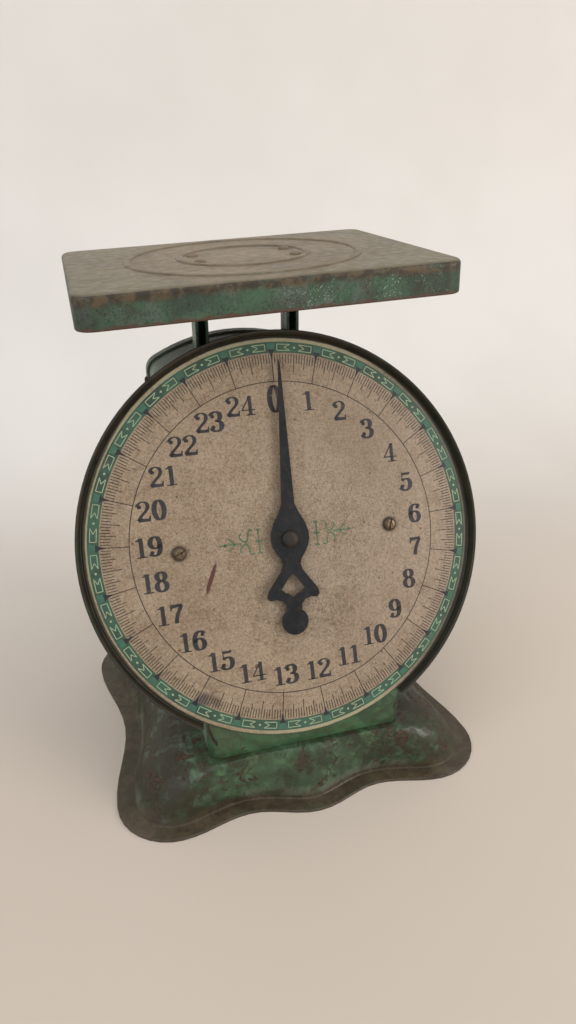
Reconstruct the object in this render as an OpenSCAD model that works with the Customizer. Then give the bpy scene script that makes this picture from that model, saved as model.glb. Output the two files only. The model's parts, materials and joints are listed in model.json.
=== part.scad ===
// Slanting-dial spring kitchen scale of painted pressed steel.
// Millimetres, +Z up, dial facing -Y, standing on Z = 0, centred on X = Y = 0.

/* [Base] */
// overall width of the pressed base
base_w = 203.6; // [198:0.5:220]
// depth of the base across its corners
base_d = 181; // [177:0.5:200]
// extra swell in the middle of the front and back edges
base_crest = 2; // [0:0.5:4]
// depth of the scallops in the front and back edges
scallop_front = 6.5; // [2:0.5:8]
// depth of the scallops in the side edges
scallop_side = 9.8; // [3:0.2:14]
// radius of the base corners in plan
base_corner = 30; // [26:1:34]
// width of the flat flange that the base stands on
flange_w = 8.5; // [5:0.5:9]
// height of the deck that carries the housing
deck_h = 29; // [25:0.5:33]
// thickness of the base sheet
base_t = 1.2; // [0.8:0.1:1.6]

/* [Dial] */
// diameter of the printed dial plate
dial_d = 203.6; // [200:0.2:206]
// outside diameter of the flared rim of the front pan
rim_d = 210.8; // [209:0.2:214]
// how far the rim stands in front of the dial face
rim_h = 3.7; // [2:0.1:5]
// lean of the dial from upright, degrees
dial_recline = 22; // [20:0.5:24]
// height of the dial centre
dial_z = 132.3; // [131:0.1:134]
// dial centre in front of the base centre
dial_front = 35.3; // [34:0.1:37]
// thickness of the dial plate
dial_t = 0.8; // [0.5:0.1:1]
// distance of each dial screw outside the housing wall
dial_screw_gap = 3.7; // [3.4:0.1:6]

/* [Housing] */
// width of the housing
house_w = 105; // [104:0.5:106]
// height of the top of the arched housing
house_top = 216.2; // [215:0.2:218]
// radius of the arched top
arch_r = 100; // [90:1:120]
// radius of the shoulders of the arch
shoulder_r = 8; // [5:0.5:10]
// distance of the back cover behind the base centre
house_back = 75.5; // [74:0.5:77]
// distance of the front apron in front of the base centre
apron_front = 71; // [70.5:0.1:71.5]
// radius of the upright corners of the apron
apron_r = 5.5; // [4:0.5:7]
// length of the apron's returns along the housing sides
apron_return = 9; // [8:0.5:12]
// thickness of the housing, pan and cover sheets
sheet_t = 1; // [0.8:0.1:1.2]
// overlap of the back cover's skirt on the housing
skirt_l = 6.5; // [6:0.5:9]
// width of the inward flanges of the housing
house_flange = 9; // [8:0.5:10]
// distance of the foot screws inside the housing wall
foot_screw_in = 8.5; // [8:0.5:9.5]
// diameter of the screws through the base
foot_screw_d = 3.4; // [3:0.1:3.5]

/* [Platform] */
// width of the platform
plat_w = 186; // [170:0.5:200]
// depth of the platform
plat_d = 147.5; // [140:0.5:160]
// height of the middle of the platform's top
plat_z = 261.7; // [260:0.1:266]
// depth of the platform's turned-down apron
plat_apron = 16; // [12:0.5:20]
// corner radius of the platform in plan
plat_corner = 9; // [7:0.5:12]
// radius of the rolled top edge
plat_edge = 2.6; // [2:0.2:5]
// platform sheet thickness
plat_t = 1.2; // [1:0.1:1.5]
// sideways lean of the bent platform, degrees
plat_lean = 2.5; // [0:0.1:3]
// rise of the bent platform towards its back, degrees
plat_pitch = 1; // [0:0.1:1.5]
// diameter of the outer pressed ring
ring_outer = 123; // [110:1:134]
// diameter of the inner pressed ring
ring_inner = 68; // [56:1:80]
// height of the pressed rings
ring_h = 0.9; // [0.5:0.1:1.2]

/* [Carriage] */
// distance of each post from the middle
post_x = 25.5; // [25:0.1:27]
// distance of the posts behind the base centre
post_y = 46; // [45:0.5:47]
// width of a post
post_w = 7; // [6.5:0.1:8]
// depth of a post
post_d = 12; // [11:0.5:13]
// thickness of the post sheet
post_t = 1.5; // [1.2:0.1:1.8]
// height of the lower end of the posts
post_foot = 66; // [64:0.5:68]
// height of the crosshead strap
crosshead_h = 14; // [12:0.5:15]
// thickness of the crosshead and rack arm sheets
strap_t = 1.5; // [1.2:0.1:1.8]

/* [Springs] */
// mean coil diameter of a spring
spring_d = 10.4; // [9.5:0.1:11]
// wire diameter of a spring
wire_d = 1.6; // [1.2:0.1:1.8]
// coils of a spring, an odd number
spring_turns = 15; // [11:2:17]
// distance of each spring from the middle
spring_x = 12; // [11.5:0.1:12.5]
// height of the hook hole in the crosshead
hook_low = 77; // [76:0.5:77.5]
// height of the hook hole in the hanger
hook_high = 166; // [164:0.5:167]

/* [Movement] */
// module of the pinion and rack
gear_m = 0.5; // [0.45:0.01:0.52]
// teeth of the pinion
pinion_teeth = 15; // [14:1:16]
// pressure angle of the teeth, degrees
pressure_angle = 25; // [22:1:27]
// tooth thinning for backlash
backlash = 0.05; // [0.03:0.01:0.08]
// diameter of the arbor
arbor_d = 3; // [2.6:0.1:3.2]
// radial running clearance
run_gap = 0.05; // [0.03:0.01:0.08]
// depth of the rack plane behind the dial face
rack_depth = 20; // [19:0.5:21]
// thickness of the rack
rack_t = 3; // [2.6:0.1:3.4]
// length of the check link between its pivots
link_l = 80; // [78:0.5:82]
// diameter of the check link's pins
link_pin_d = 4; // [3.4:0.1:4.2]

/* [Pointer] */
// length of the pointer from the arbor to the tip
pointer_l = 90.6; // [80:0.2:92]
// thickness of the pointer
pointer_t = 0.9; // [0.6:0.1:1.2]
// height of the pointer over the dial
pointer_z = 3; // [2.4:0.1:3.6]
// resting angle of the pointer past zero, degrees clockwise
pointer_rest = 2.8; // [0:0.1:6]

/* [Zero setting] */
// diameter of the knurled zero knob
knob_d = 12; // [11:0.5:16]
// height of the zero knob
knob_h = 2.6; // [2.2:0.1:4]
// thread diameter of the zero screw
zero_d = 5; // [4.6:0.1:5.2]

/* [Hidden] */
$fn = 32;
base_hw = base_w / 2;
base_hd = base_d / 2;
xs = base_hw - base_corner;
ys = base_hd - base_corner;
plat_y = post_y + 1;
plat_back = plat_y + plat_d / 2 * cos(plat_pitch) + plat_apron * sin(plat_pitch);
mid_y = (plat_back - base_hd - base_crest) / 2;
dial_r = dial_d / 2;
rim_r = rim_d / 2;
cr = cos(dial_recline);
sr = sin(dial_recline);
pan_front = -dial_t;
pan_back = -dial_t - sheet_t;
house_hw = house_w / 2;
dial_screw_x = house_hw + dial_screw_gap;
cover_gap = 0.3;
arch_z = house_top - arch_r;
flange_y = house_back - sheet_t - cover_gap;
pitch_r = gear_m * pinion_teeth / 2;
rack_travel = 2 * PI * pitch_r;
travel = rack_travel * cr;
add = gear_m;
ded = 1.25 * gear_m;
pitch = PI * gear_m;
rack_x = pitch_r + ded + 4.6;
arm_x = rack_x + 0.6;
pin_up = 60;
pin_y = -dial_front + pin_up * sr + rack_depth * cr;
pin_z = dial_z + pin_up * cr - rack_depth * sr;
slot_run = rack_travel * sr;
post_in = post_x - post_w / 2;
plane_y = post_y;
bar_y = post_y - 10;
bar_h = 12;
bar_z = pin_z - 8.4;
bracket_z = bar_z + bar_h + 4;
bracket_t = 2;
hanger_h = 14;
hanger_z = hook_high - 3;
boss_w = 10;
link_y = post_y - 8;
link_z = post_foot + 5;
link_mid = link_z - travel / 2;
link_half = asin(travel / 2 / link_l);
link_back = link_l * (1 - cos(link_half));
pivot_y = link_y - link_l;
foot_x = house_hw - foot_screw_in;
foot_front = 26 - apron_front;
foot_back = house_back - 17.5;
screw_spots = [[foot_x, foot_front], [-foot_x, foot_front], [foot_x, foot_back], [-foot_x, foot_back]];
link_foot = 28;
bracket_spots = [[0, pivot_y + link_foot / 2]];
foot_hole_r = foot_screw_d / 2 + 0.2;
tab_l = 32;
tab_w = post_w + 4;
post_rivet_r = (post_d / 2 - post_t - strap_t / 2) / 2 - 0.3;
post_pin_r = 0.65 * post_rivet_r;

// ---------- frames ----------
module placed() {
  translate([0, -mid_y, 0]) children();
}

module dial_frame() {
  placed() translate([0, -dial_front, dial_z]) rotate([90 - dial_recline, 0, 0]) children();
}

module raw_dial_frame() {
  translate([0, -dial_front, dial_z]) rotate([90 - dial_recline, 0, 0]) children();
}

module plat_frame() {
  translate([0, plat_y, plat_z]) rotate([plat_pitch, -plat_lean, 0]) children();
}

// cylinder along X from x0 to x1 at a given y, z
module rod_x(r, x0, x1, y, z) {
  translate([x0, y, z]) rotate([0, 90, 0]) cylinder(r = r, h = x1 - x0);
}

module slotted_head(r, h, slot) {
  difference() {
    rotate_extrude() polygon([[0, 0], [r, 0], [r, h * 0.35], [r * 0.9, h * 0.65],
      [r * 0.7, h * 0.88], [r * 0.4, h], [0, h]]);
    translate([-r - 1, -slot / 2, h * 0.5]) cube([2 * r + 2, slot, h]);
  }
}

module dome(r, h) {
  rotate_extrude() polygon([[0, 0], [r, 0], [r * 0.93, h * 0.45], [r * 0.72, h * 0.8],
    [r * 0.4, h * 0.97], [0, h]]);
}

module hex_nut(r, h, bore) {
  difference() {
    cylinder(r = r, h = h, $fn = 6);
    translate([0, 0, -1]) cylinder(r = bore, h = h + 2);
  }
}

// ---------- base ----------
function edge_y(x) = base_hd - scallop_front
  + (scallop_front + (abs(x) < xs / 2 ? base_crest : 0)) * (0.5 + 0.5 * cos(360 * x / xs));
function edge_x(y) = base_hw - scallop_side * (0.5 + 0.5 * cos(180 * y / ys));
n_side = 12;
n_corner = 8;
n_front = 24;

// deck outline, slightly larger than the housing
qa = house_hw + 7;
qf = -(apron_front + 3);
qb = house_back + 4;
qr = 18;

function lerp(a, b, t) = a + (b - a) * t;
function arc_p(cx, cy, r, a0, n) = [for (i = [0 : n - 1]) let (a = a0 + 90 * i / n)
  [cx + r * cos(a), cy + r * sin(a)]];
function rim_pts() = concat(
  [for (i = [0 : n_side - 1]) let (y = lerp(-ys, ys, i / n_side)) [edge_x(y), y]],
  arc_p(xs, ys, base_corner, 0, n_corner),
  [for (i = [0 : n_front - 1]) let (x = lerp(xs, -xs, i / n_front)) [x, edge_y(x)]],
  arc_p(-xs, ys, base_corner, 90, n_corner),
  [for (i = [0 : n_side - 1]) let (y = lerp(ys, -ys, i / n_side)) [-edge_x(y), y]],
  arc_p(-xs, -ys, base_corner, 180, n_corner),
  [for (i = [0 : n_front - 1]) let (x = lerp(-xs, xs, i / n_front)) [x, -edge_y(x)]],
  arc_p(xs, -ys, base_corner, 270, n_corner));
function deck_pts(o) = let (a = qa - o, f = qf + o, b = qb - o, r = qr - o) concat(
  [for (i = [0 : n_side - 1]) [a, lerp(f + r, b - r, i / n_side)]],
  arc_p(a - r, b - r, r, 0, n_corner),
  [for (i = [0 : n_front - 1]) [lerp(a - r, r - a, i / n_front), b]],
  arc_p(r - a, b - r, r, 90, n_corner),
  [for (i = [0 : n_side - 1]) [-a, lerp(b - r, f + r, i / n_side)]],
  arc_p(r - a, f + r, r, 180, n_corner),
  [for (i = [0 : n_front - 1]) [lerp(r - a, a - r, i / n_front), f]],
  arc_p(a - r, f + r, r, 270, n_corner));
function inset(p, d) = let (n = len(p)) [for (i = [0 : n - 1])
  let (t = p[(i + 1) % n] - p[(i + n - 1) % n], l = norm(t))
  [p[i][0] - d * t[1] / l, p[i][1] + d * t[0] / l]];
function ring3(p, z) = [for (q = p) [q[0], q[1], z]];
function blend(p, q, t) = [for (i = [0 : len(p) - 1]) lerp(p[i], q[i], t)];

// fraction of the way in and fraction of the height of the pressed slope
slope = [[0.05, 0.1], [0.13, 0.27], [0.24, 0.48], [0.38, 0.68], [0.54, 0.83], [0.7, 0.93],
  [0.86, 0.985], [1, 1]];
n_slope = len(slope);

module base_shell() {
  p = rim_pts();
  r_out = inset(p, flange_w);
  r_in = inset(p, flange_w + base_t * 0.6);
  q_out = deck_pts(0);
  q_in = deck_pts(base_t);
  rise = deck_h - base_t;
  rings = concat(
    [for (k = [n_slope - 1 : -1 : 0]) ring3(blend(r_out, q_out, slope[k][0]), base_t + rise * slope[k][1])],
    [ring3(r_out, base_t), ring3(p, base_t), ring3(p, 0), ring3(r_in, 0)],
    [for (k = [0 : n_slope - 1]) ring3(blend(r_in, q_in, slope[k][0]), rise * slope[k][1])]);
  n = len(p);
  m = len(rings);
  polyhedron(points = concat([for (r = rings) for (v = r) v], [[0, 0, deck_h], [0, 0, rise]]),
    faces = concat(
      [for (i = [0 : n - 1]) [m * n, (i + 1) % n, i]],
      [for (k = [0 : m - 2]) for (i = [0 : n - 1]) let (j = (i + 1) % n)
        [k * n + i, k * n + j, (k + 1) * n + j]],
      [for (k = [0 : m - 2]) for (i = [0 : n - 1]) let (j = (i + 1) % n)
        [k * n + i, (k + 1) * n + j, (k + 1) * n + i]],
      [for (i = [0 : n - 1]) [m * n + 1, (m - 1) * n + i, (m - 1) * n + (i + 1) % n]]),
    convexity = 6);
}

module base() {
  color("#4e6b52") placed() difference() {
    base_shell();
    for (s = concat(screw_spots, bracket_spots)) translate([s[0], s[1], deck_h - 5])
      cylinder(r = foot_hole_r, h = 10);
  }
}

module base_screws() {
  color("#8a8a86") placed() {
    for (s = concat(screw_spots, bracket_spots)) translate([s[0], s[1], deck_h - base_t]) {
      mirror([0, 0, 1]) slotted_head(4, 2.2, 1);
      cylinder(r = foot_screw_d / 2, h = 8.4);
    }
  }
}

module base_nuts() {
  color("#8a8a86") placed() {
    for (s = screw_spots) translate([s[0], s[1], deck_h + sheet_t]) hex_nut(4, 3, foot_screw_d / 2);
    for (s = bracket_spots) translate([s[0], s[1], deck_h + 2]) hex_nut(4, 3, foot_screw_d / 2);
  }
}

// ---------- housing ----------
// arched outline, o grows it, zb is its foot
function arch_pts(o, zb) =
  let (w = house_hw + o, r = max(0.8, shoulder_r + o), big = arch_r + o,
    zc = arch_z + sqrt(pow(big - r, 2) - pow(w - r, 2)),
    a = atan2(zc - arch_z, w - r))
  concat([[w, zb]],
    [for (i = [0 : 4]) [w - r + r * cos(a * i / 5), zc + r * sin(a * i / 5)]],
    [for (i = [0 : 16]) let (b = lerp(a, 180 - a, i / 16)) [big * cos(b), arch_z + big * sin(b)]],
    [for (i = [4 : -1 : 0]) [r - w - r * cos(a * i / 5), zc + r * sin(a * i / 5)]],
    [[-w, zb]]);

module arch_prism(o, zb, y0, y1) {
  translate([0, y1, 0]) rotate([90, 0, 0]) linear_extrude(y1 - y0) polygon(arch_pts(o, zb));
}

// everything behind the plane that lies z in front of the dial face
module behind(z) {
  raw_dial_frame() translate([-150, -200, z - 250]) cube([300, 400, 250]);
}

seam_y = apron_return - apron_front + 0.3;

module housing() {
  color("#4e6b52") placed() difference() {
    intersection() {
      arch_prism(0, deck_h, seam_y, flange_y);
      behind(pan_back);
    }
    // hollow, leaving the slanting front flange and the foot flange
    intersection() {
      arch_prism(-sheet_t, deck_h + sheet_t, seam_y - 5, house_back + 10);
      behind(pan_back - sheet_t);
    }
    arch_prism(-house_flange, deck_h + sheet_t + 3, seam_y - 5, house_back + 10);
    translate([-house_hw + house_flange + 4.5, seam_y - 5, deck_h - 5])
      cube([house_w - 2 * house_flange - 9, 150, 20]);
    for (s = [-1, 1]) translate([s * post_x - post_w / 2 - 1.5, post_y - post_d / 2 - 1.5, house_top - 12])
      cube([post_w + 3, post_d + 3, 20]);
    translate([0, plane_y, house_top - 12]) cylinder(r = zero_d / 2 + 0.5, h = 20);
    for (s = screw_spots) translate([s[0], s[1], deck_h - 5]) cylinder(r = foot_hole_r, h = 10);
    for (s = cover_spots) rod_x(1.3, s[0] * house_hw - 3, s[0] * house_hw + 3, s[1], s[2]);
    for (s = rivet_spots) raw_dial_frame() translate([s[0], s[1], pan_back - 5])
      cylinder(r = 1.6, h = 10);
  }
}

cover_y = house_back - skirt_l / 2 - 0.4;
cover_spots = [[1, cover_y, 191], [1, cover_y, 52], [-1, cover_y, 191], [-1, cover_y, 52]];
rivet_spots = [[house_hw - 5.5, -45], [house_hw - 5.5, 50], [5.5 - house_hw, -45], [5.5 - house_hw, 50]];

module back_cover() {
  o = cover_gap + sheet_t;
  color("#4e6b52") placed() difference() {
    union() {
      arch_prism(o, deck_h + 0.3, house_back - skirt_l, house_back);
      // pressed panel in the middle of the cover
      arch_prism(-14, deck_h + 16, house_back - 0.5, house_back + 1.2);
    }
    arch_prism(cover_gap, deck_h - 1, house_back - skirt_l - 1, house_back - sheet_t);
    arch_prism(-15, deck_h + 17, house_back - sheet_t - 0.5, house_back + 1.2 - sheet_t);
    for (s = cover_spots) rod_x(1.4, s[0] * house_hw - 4, s[0] * house_hw + 4, s[1], s[2]);
  }
}

module cover_screws() {
  color("#8a8a86") placed() for (s = cover_spots) {
    translate([s[0] * (house_hw + cover_gap + sheet_t), s[1], s[2]]) rotate([0, s[0] * 90, 0]) {
      slotted_head(2.6, 1.5, 0.7);
      translate([0, 0, -6]) cylinder(r = 1.3, h = 6);
    }
  }
}

// ---------- front pan ----------
floor_r = dial_r - 0.4;
rim_from = -60;
rim_sweep = 298;
flare = [[floor_r - 1, pan_front], [dial_r + 0.4, pan_front], [dial_r + 1, pan_front + 0.4],
  [rim_r - 1.3, rim_h - 0.3], [rim_r - 1, rim_h], [rim_r - 0.5, rim_h + 0.1], [rim_r - 0.05, rim_h - 0.15],
  [rim_r, rim_h - 0.6], [dial_r + 2.1, pan_front - 0.15], [dial_r + 1.4, pan_back + 0.15],
  [dial_r + 0.8, pan_back], [floor_r - 1, pan_back]];

// plan of the apron's corner, k = 1 right and -1 left, o moves it inwards
function apron_corner(k, o) = let (w = house_hw - o, f = -apron_front + o, r = apron_r - o)
  [for (i = k > 0 ? [0 : 6] : [6 : -1 : 0]) let (a = -15 * i) [k * (w - r + r * cos(a)), f + r + r * sin(a)]];
function apron_line(o) = concat(apron_corner(1, o), apron_corner(-1, o));

// outline of the pan's floor in the plane of the dial
function floor_pts() = let (a = -acos(house_hw / floor_r)) concat(
  [for (i = [0 : 90]) let (b = lerp(a, 180 - a, i / 90)) [floor_r * cos(b), floor_r * sin(b)]],
  [for (q = reversed(apron_line(0))) [q[0], (q[1] + dial_front + pan_front * cr) / sr]]);
function reversed(p) = [for (i = [len(p) - 1 : -1 : 0]) p[i]];

module front_pan() {
  back_y = apron_return - apron_front;
  color("#4a3a2c") placed() difference() {
    union() {
      raw_dial_frame() rotate([0, 0, rim_from]) rotate_extrude(angle = rim_sweep) polygon(flare);
      raw_dial_frame() translate([0, 0, pan_back]) linear_extrude(sheet_t) polygon(floor_pts());
      // upright apron with its returns
      intersection() {
        translate([0, 0, deck_h + 0.3]) linear_extrude(90) polygon(concat([[house_hw, back_y]], apron_line(0),
          [[-house_hw, back_y], [sheet_t - house_hw, back_y]], reversed(apron_line(sheet_t)),
          [[house_hw - sheet_t, back_y]]));
        behind((pan_front + pan_back) / 2);
      }
    }
    raw_dial_frame() {
      translate([0, 0, -10]) cylinder(r = 5, h = 20);
      for (s = [-1, 1]) translate([s * dial_screw_x, 0, -10]) cylinder(r = 1.7, h = 20);
      for (s = concat(rivet_spots, frame_spots)) translate([s[0], s[1], -10]) cylinder(r = 1.6, h = 20);
    }
  }
}

module flush_rivet(behind) {
  translate([0, 0, pan_back - behind]) cylinder(r = 1.6, h = sheet_t + behind);
  translate([0, 0, pan_back - behind]) mirror([0, 0, 1]) dome(2.8, 1.3);
}

module pan_rivets() {
  color("#8a8a86") dial_frame() for (s = rivet_spots) translate([s[0], s[1], 0])
    flush_rivet(sheet_t);
}

module dial_plate() {
  color("#cbb592") dial_frame() translate([0, 0, -dial_t]) difference() {
    cylinder(r = dial_r, h = dial_t, $fn = 120);
    translate([0, 0, -1]) cylinder(r = 3.4, h = 3);
    for (s = [-1, 1]) translate([s * dial_screw_x, 0, -1]) cylinder(r = 1.7, h = 3);
  }
}

module dial_screws() {
  color("#8d7a55") dial_frame() for (s = [-1, 1]) translate([s * dial_screw_x, 0, 0]) {
    rotate([0, 0, s > 0 ? 70 : 25]) slotted_head(3.6, 1.9, 0.8);
    translate([0, 0, -6]) cylinder(r = 1.5, h = 6);
  }
}

module dial_nuts() {
  color("#8a8a86") dial_frame() for (s = [-1, 1]) translate([s * dial_screw_x, 0, pan_back - 2.6])
    hex_nut(3.1, 2.6, 1.5);
}

// ---------- movement ----------
frame_hw = 20;
frame_hl = 20;
frame_back = -rack_depth - 13;
frame_t = 1.5;
frame_spots = [[frame_hw + 5, 13], [frame_hw + 5, -13], [-frame_hw - 5, 13], [-frame_hw - 5, -13]];

module movement_frame() {
  color("#77736a") dial_frame() difference() {
    union() {
      translate([-frame_hw - 10, -frame_hl, pan_back - frame_t])
        cube([2 * frame_hw + 20, 2 * frame_hl, frame_t]);
      for (s = [-1, 1]) translate([s > 0 ? frame_hw - frame_t : -frame_hw, -frame_hl + 6, frame_back])
        cube([frame_t, 2 * frame_hl - 12, pan_back - frame_back - frame_t / 2]);
      translate([-frame_hw, -frame_hl + 6, frame_back]) cube([2 * frame_hw, 2 * frame_hl - 12, frame_t]);
    }
    translate([0, 0, pan_back - 5]) cylinder(r = 3.5, h = 10);
    translate([0, 0, frame_back - 5]) cylinder(r = 3.5, h = 10);
    for (s = frame_spots) translate([s[0], s[1], pan_back - 5]) cylinder(r = 1.6, h = 10);
    // window that lets the rack run past the front plate
    translate([-12, 9, frame_back - 1]) cube([24, 3, 4]);
    for (s = [-5, 5]) translate([frame_hw - 4, s, -rack_depth]) rotate([0, 90, 0]) cylinder(r = 1.6, h = 8);
  }
}

module frame_rivets() {
  color("#8a8a86") dial_frame() for (s = frame_spots) translate([s[0], s[1], 0])
    flush_rivet(frame_t);
}

module front_bearing() {
  color("#a8823c") dial_frame() difference() {
    union() {
      translate([0, 0, pan_back - frame_t]) cylinder(r = 3.5, h = frame_t + sheet_t - 0.2);
      translate([0, 0, pan_back - frame_t - 1.4]) cylinder(r = 5, h = 1.4);
    }
    translate([0, 0, -20]) cylinder(r = arbor_d / 2 + run_gap, h = 30);
  }
}

module rear_bearing() {
  color("#a8823c") dial_frame() difference() {
    union() {
      translate([0, 0, frame_back]) cylinder(r = 3.5, h = frame_t);
      translate([0, 0, frame_back + frame_t]) cylinder(r = 5, h = 1.4);
    }
    translate([0, 0, frame_back - 5]) cylinder(r = arbor_d / 2 + run_gap, h = 30);
  }
}

module arbor() {
  color("#9a9a98") dial_frame() rotate_extrude() polygon([[0, frame_back - 1.5],
    [arbor_d / 2 - 0.3, frame_back - 1.5], [arbor_d / 2, frame_back - 1.2],
    [arbor_d / 2, pan_back - frame_t - 3.2], [arbor_d / 2, pointer_z + pointer_t + 1.2],
    [0, pointer_z + pointer_t + 1.2]]);
}

// involute polar angle, degrees
function inv(a) = tan(a) * 180 / PI - a;
base_r = pitch_r * cos(pressure_angle);
function flank(r) = let (a = r > base_r ? acos(base_r / r) : 0) inv(pressure_angle) - inv(a);
half_tooth = 90 / pinion_teeth - (backlash / 2) / pitch_r * 180 / PI;
tip_r = pitch_r + add;
root_r = pitch_r - ded;
rr = [root_r, base_r + 0.02, lerp(base_r, tip_r, 0.3), lerp(base_r, tip_r, 0.6),
  lerp(base_r, tip_r, 0.85), tip_r];

function tooth(c) = concat(
  [for (r = rr) let (a = c - half_tooth - flank(r)) [r * cos(a), r * sin(a)]],
  [for (i = [len(rr) - 1 : -1 : 0]) let (r = rr[i], a = c + half_tooth + flank(r)) [r * cos(a), r * sin(a)]]);

pinion_w = 6;

module pinion() {
  color("#a8823c") dial_frame() translate([0, 0, -rack_depth - pinion_w / 2]) difference() {
    union() {
      linear_extrude(pinion_w) polygon([for (k = [0 : pinion_teeth - 1])
        for (p = tooth((k + 0.5) * 360 / pinion_teeth)) p]);
      translate([0, 0, pinion_w]) cylinder(r = 2.8, h = 3);
    }
    translate([0, 0, -1]) cylinder(r = arbor_d / 2, h = pinion_w + 8);
  }
}

rack_lo = -7;
rack_hi = pin_up + 6;
teeth_lo = -3;
teeth_hi = ceil((rack_travel + 4) / pitch);
tooth_half = pitch / 4 - backlash / 2;
tp = tan(pressure_angle);

module rack() {
  tip_x = pitch_r - add;
  foot_x = pitch_r + ded;
  ht = tooth_half - add * tp;
  hf = tooth_half + ded * tp;
  color("#9a9a98") dial_frame() difference() {
    translate([0, 0, -rack_depth - rack_t / 2]) linear_extrude(rack_t) polygon(concat(
      [[rack_x, rack_hi - 2], [rack_x - 2, rack_hi], [foot_x + 0.4, rack_hi], [foot_x, rack_hi - 0.4]],
      [for (k = [teeth_hi : -1 : teeth_lo]) for (p = [[foot_x, k * pitch + hf], [tip_x, k * pitch + ht],
        [tip_x, k * pitch - ht], [foot_x, k * pitch - hf]]) p],
      [[foot_x, rack_lo], [rack_x, rack_lo]]));
    translate([0, pin_up, -rack_depth]) rotate([0, 90, 0]) cylinder(r = 1, h = 30);
  }
}

module rack_pin() {
  color("#9a9a98") placed() {
    rod_x(1, pitch_r + ded, arm_x + strap_t + 0.5, pin_y, pin_z);
    rod_x(2.2, arm_x + strap_t + 0.3, arm_x + strap_t + 1.3, pin_y, pin_z);
  }
}

module rack_keeper() {
  color("#77736a") dial_frame() difference() {
    translate([rack_x - 2, -8, -rack_depth - rack_t / 2 - 1.6])
      cube([frame_hw - frame_t - rack_x + 2, 16, rack_t + 3.2]);
    translate([rack_x - 10, -10, -rack_depth - rack_t / 2 - 0.1])
      cube([10 + 0.1, 20, rack_t + 0.2]);
    for (s = [-5, 5]) translate([rack_x + 3, s, -rack_depth]) rotate([0, 90, 0]) cylinder(r = 1.5, h = 20);
  }
}

module keeper_screws() {
  color("#8a8a86") dial_frame() for (s = [-5, 5]) translate([frame_hw, s, -rack_depth]) rotate([0, 90, 0]) {
    slotted_head(2.8, 1.6, 0.7);
    translate([0, 0, rack_x + 3.2 - frame_hw]) cylinder(r = 1.5, h = frame_hw - rack_x - 3.2);
  }
}

// ---------- pointer ----------
blade = [[0, pointer_l], [0.55, pointer_l - 3], [2, 53], [3.4, 18], [5.2, 13.6], [8.2, 8.4],
  [9.9, 3.4], [10.1, 0], [9.4, -3.8], [7.4, -7.6], [5.4, -10.4], [4.7, -13], [5.6, -16],
  [9, -20.8], [13.2, -26.4], [13.9, -29.4],
  [12.4, -31], [9.2, -30.6], [6, -31.6], [4.1, -34]];
tail_c = -42.5;
tail_r = 7;

module pointer() {
  color("#2b3640") dial_frame() rotate([0, 0, -pointer_rest]) translate([0, 0, pointer_z]) difference() {
    linear_extrude(pointer_t) polygon(concat(
      blade,
      [for (i = [0 : 14]) let (a = lerp(54, -90, i / 14)) [tail_r * cos(a), tail_c + tail_r * sin(a)]],
      [for (i = [13 : -1 : 0]) let (a = lerp(54, -90, i / 14)) [-tail_r * cos(a), tail_c + tail_r * sin(a)]],
      [for (i = [len(blade) - 1 : -1 : 1]) [-blade[i][0], blade[i][1]]]));
    translate([0, 0, -1]) cylinder(r = arbor_d / 2, h = 4);
    translate([0, 0, -1]) linear_extrude(4) polygon([[0, -17.6], [2.4, -20.4], [6.2, -25.6],
      [4.2, -27.4], [1.8, -28.4], [0, -30.4], [-1.8, -28.4], [-4.2, -27.4], [-6.2, -25.6], [-2.4, -20.4]]);
  }
}

module pointer_boss() {
  color("#3a3a38") dial_frame() translate([0, 0, pointer_z + pointer_t]) difference() {
    dome(4.5, 2.4);
    translate([0, 0, -1]) cylinder(r = arbor_d / 2, h = 2.2);
  }
}

module pointer_collar() {
  color("#a8823c") dial_frame() translate([0, 0, 0.5]) difference() {
    cylinder(r = 2.8, h = pointer_z - 0.5);
    translate([0, 0, -1]) cylinder(r = arbor_d / 2, h = 8);
  }
}

// ---------- platform and carriage ----------
module edge_section() {
  polygon(concat(
    [for (i = [0 : 6]) [plat_corner - plat_edge + plat_edge * sin(15 * i),
      -plat_edge + plat_edge * cos(15 * i)]],
    [[plat_corner, -plat_apron + 0.6], [plat_corner - 0.4, -plat_apron], [plat_corner - plat_t, -plat_apron]],
    [for (i = [6 : -1 : 0]) [plat_corner - plat_edge + (plat_edge - plat_t) * sin(15 * i),
      -plat_edge + (plat_edge - plat_t) * cos(15 * i)]],
    [[0, -plat_t], [0, 0]]));
}

module ring_section(d) {
  rotate_extrude($fn = 96) polygon([[d / 2 - 2.6, -0.3], [d / 2 - 1.5, ring_h * 0.7],
    [d / 2 - 0.6, ring_h], [d / 2 + 0.6, ring_h], [d / 2 + 1.5, ring_h * 0.7], [d / 2 + 2.6, -0.3]]);
}

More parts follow.
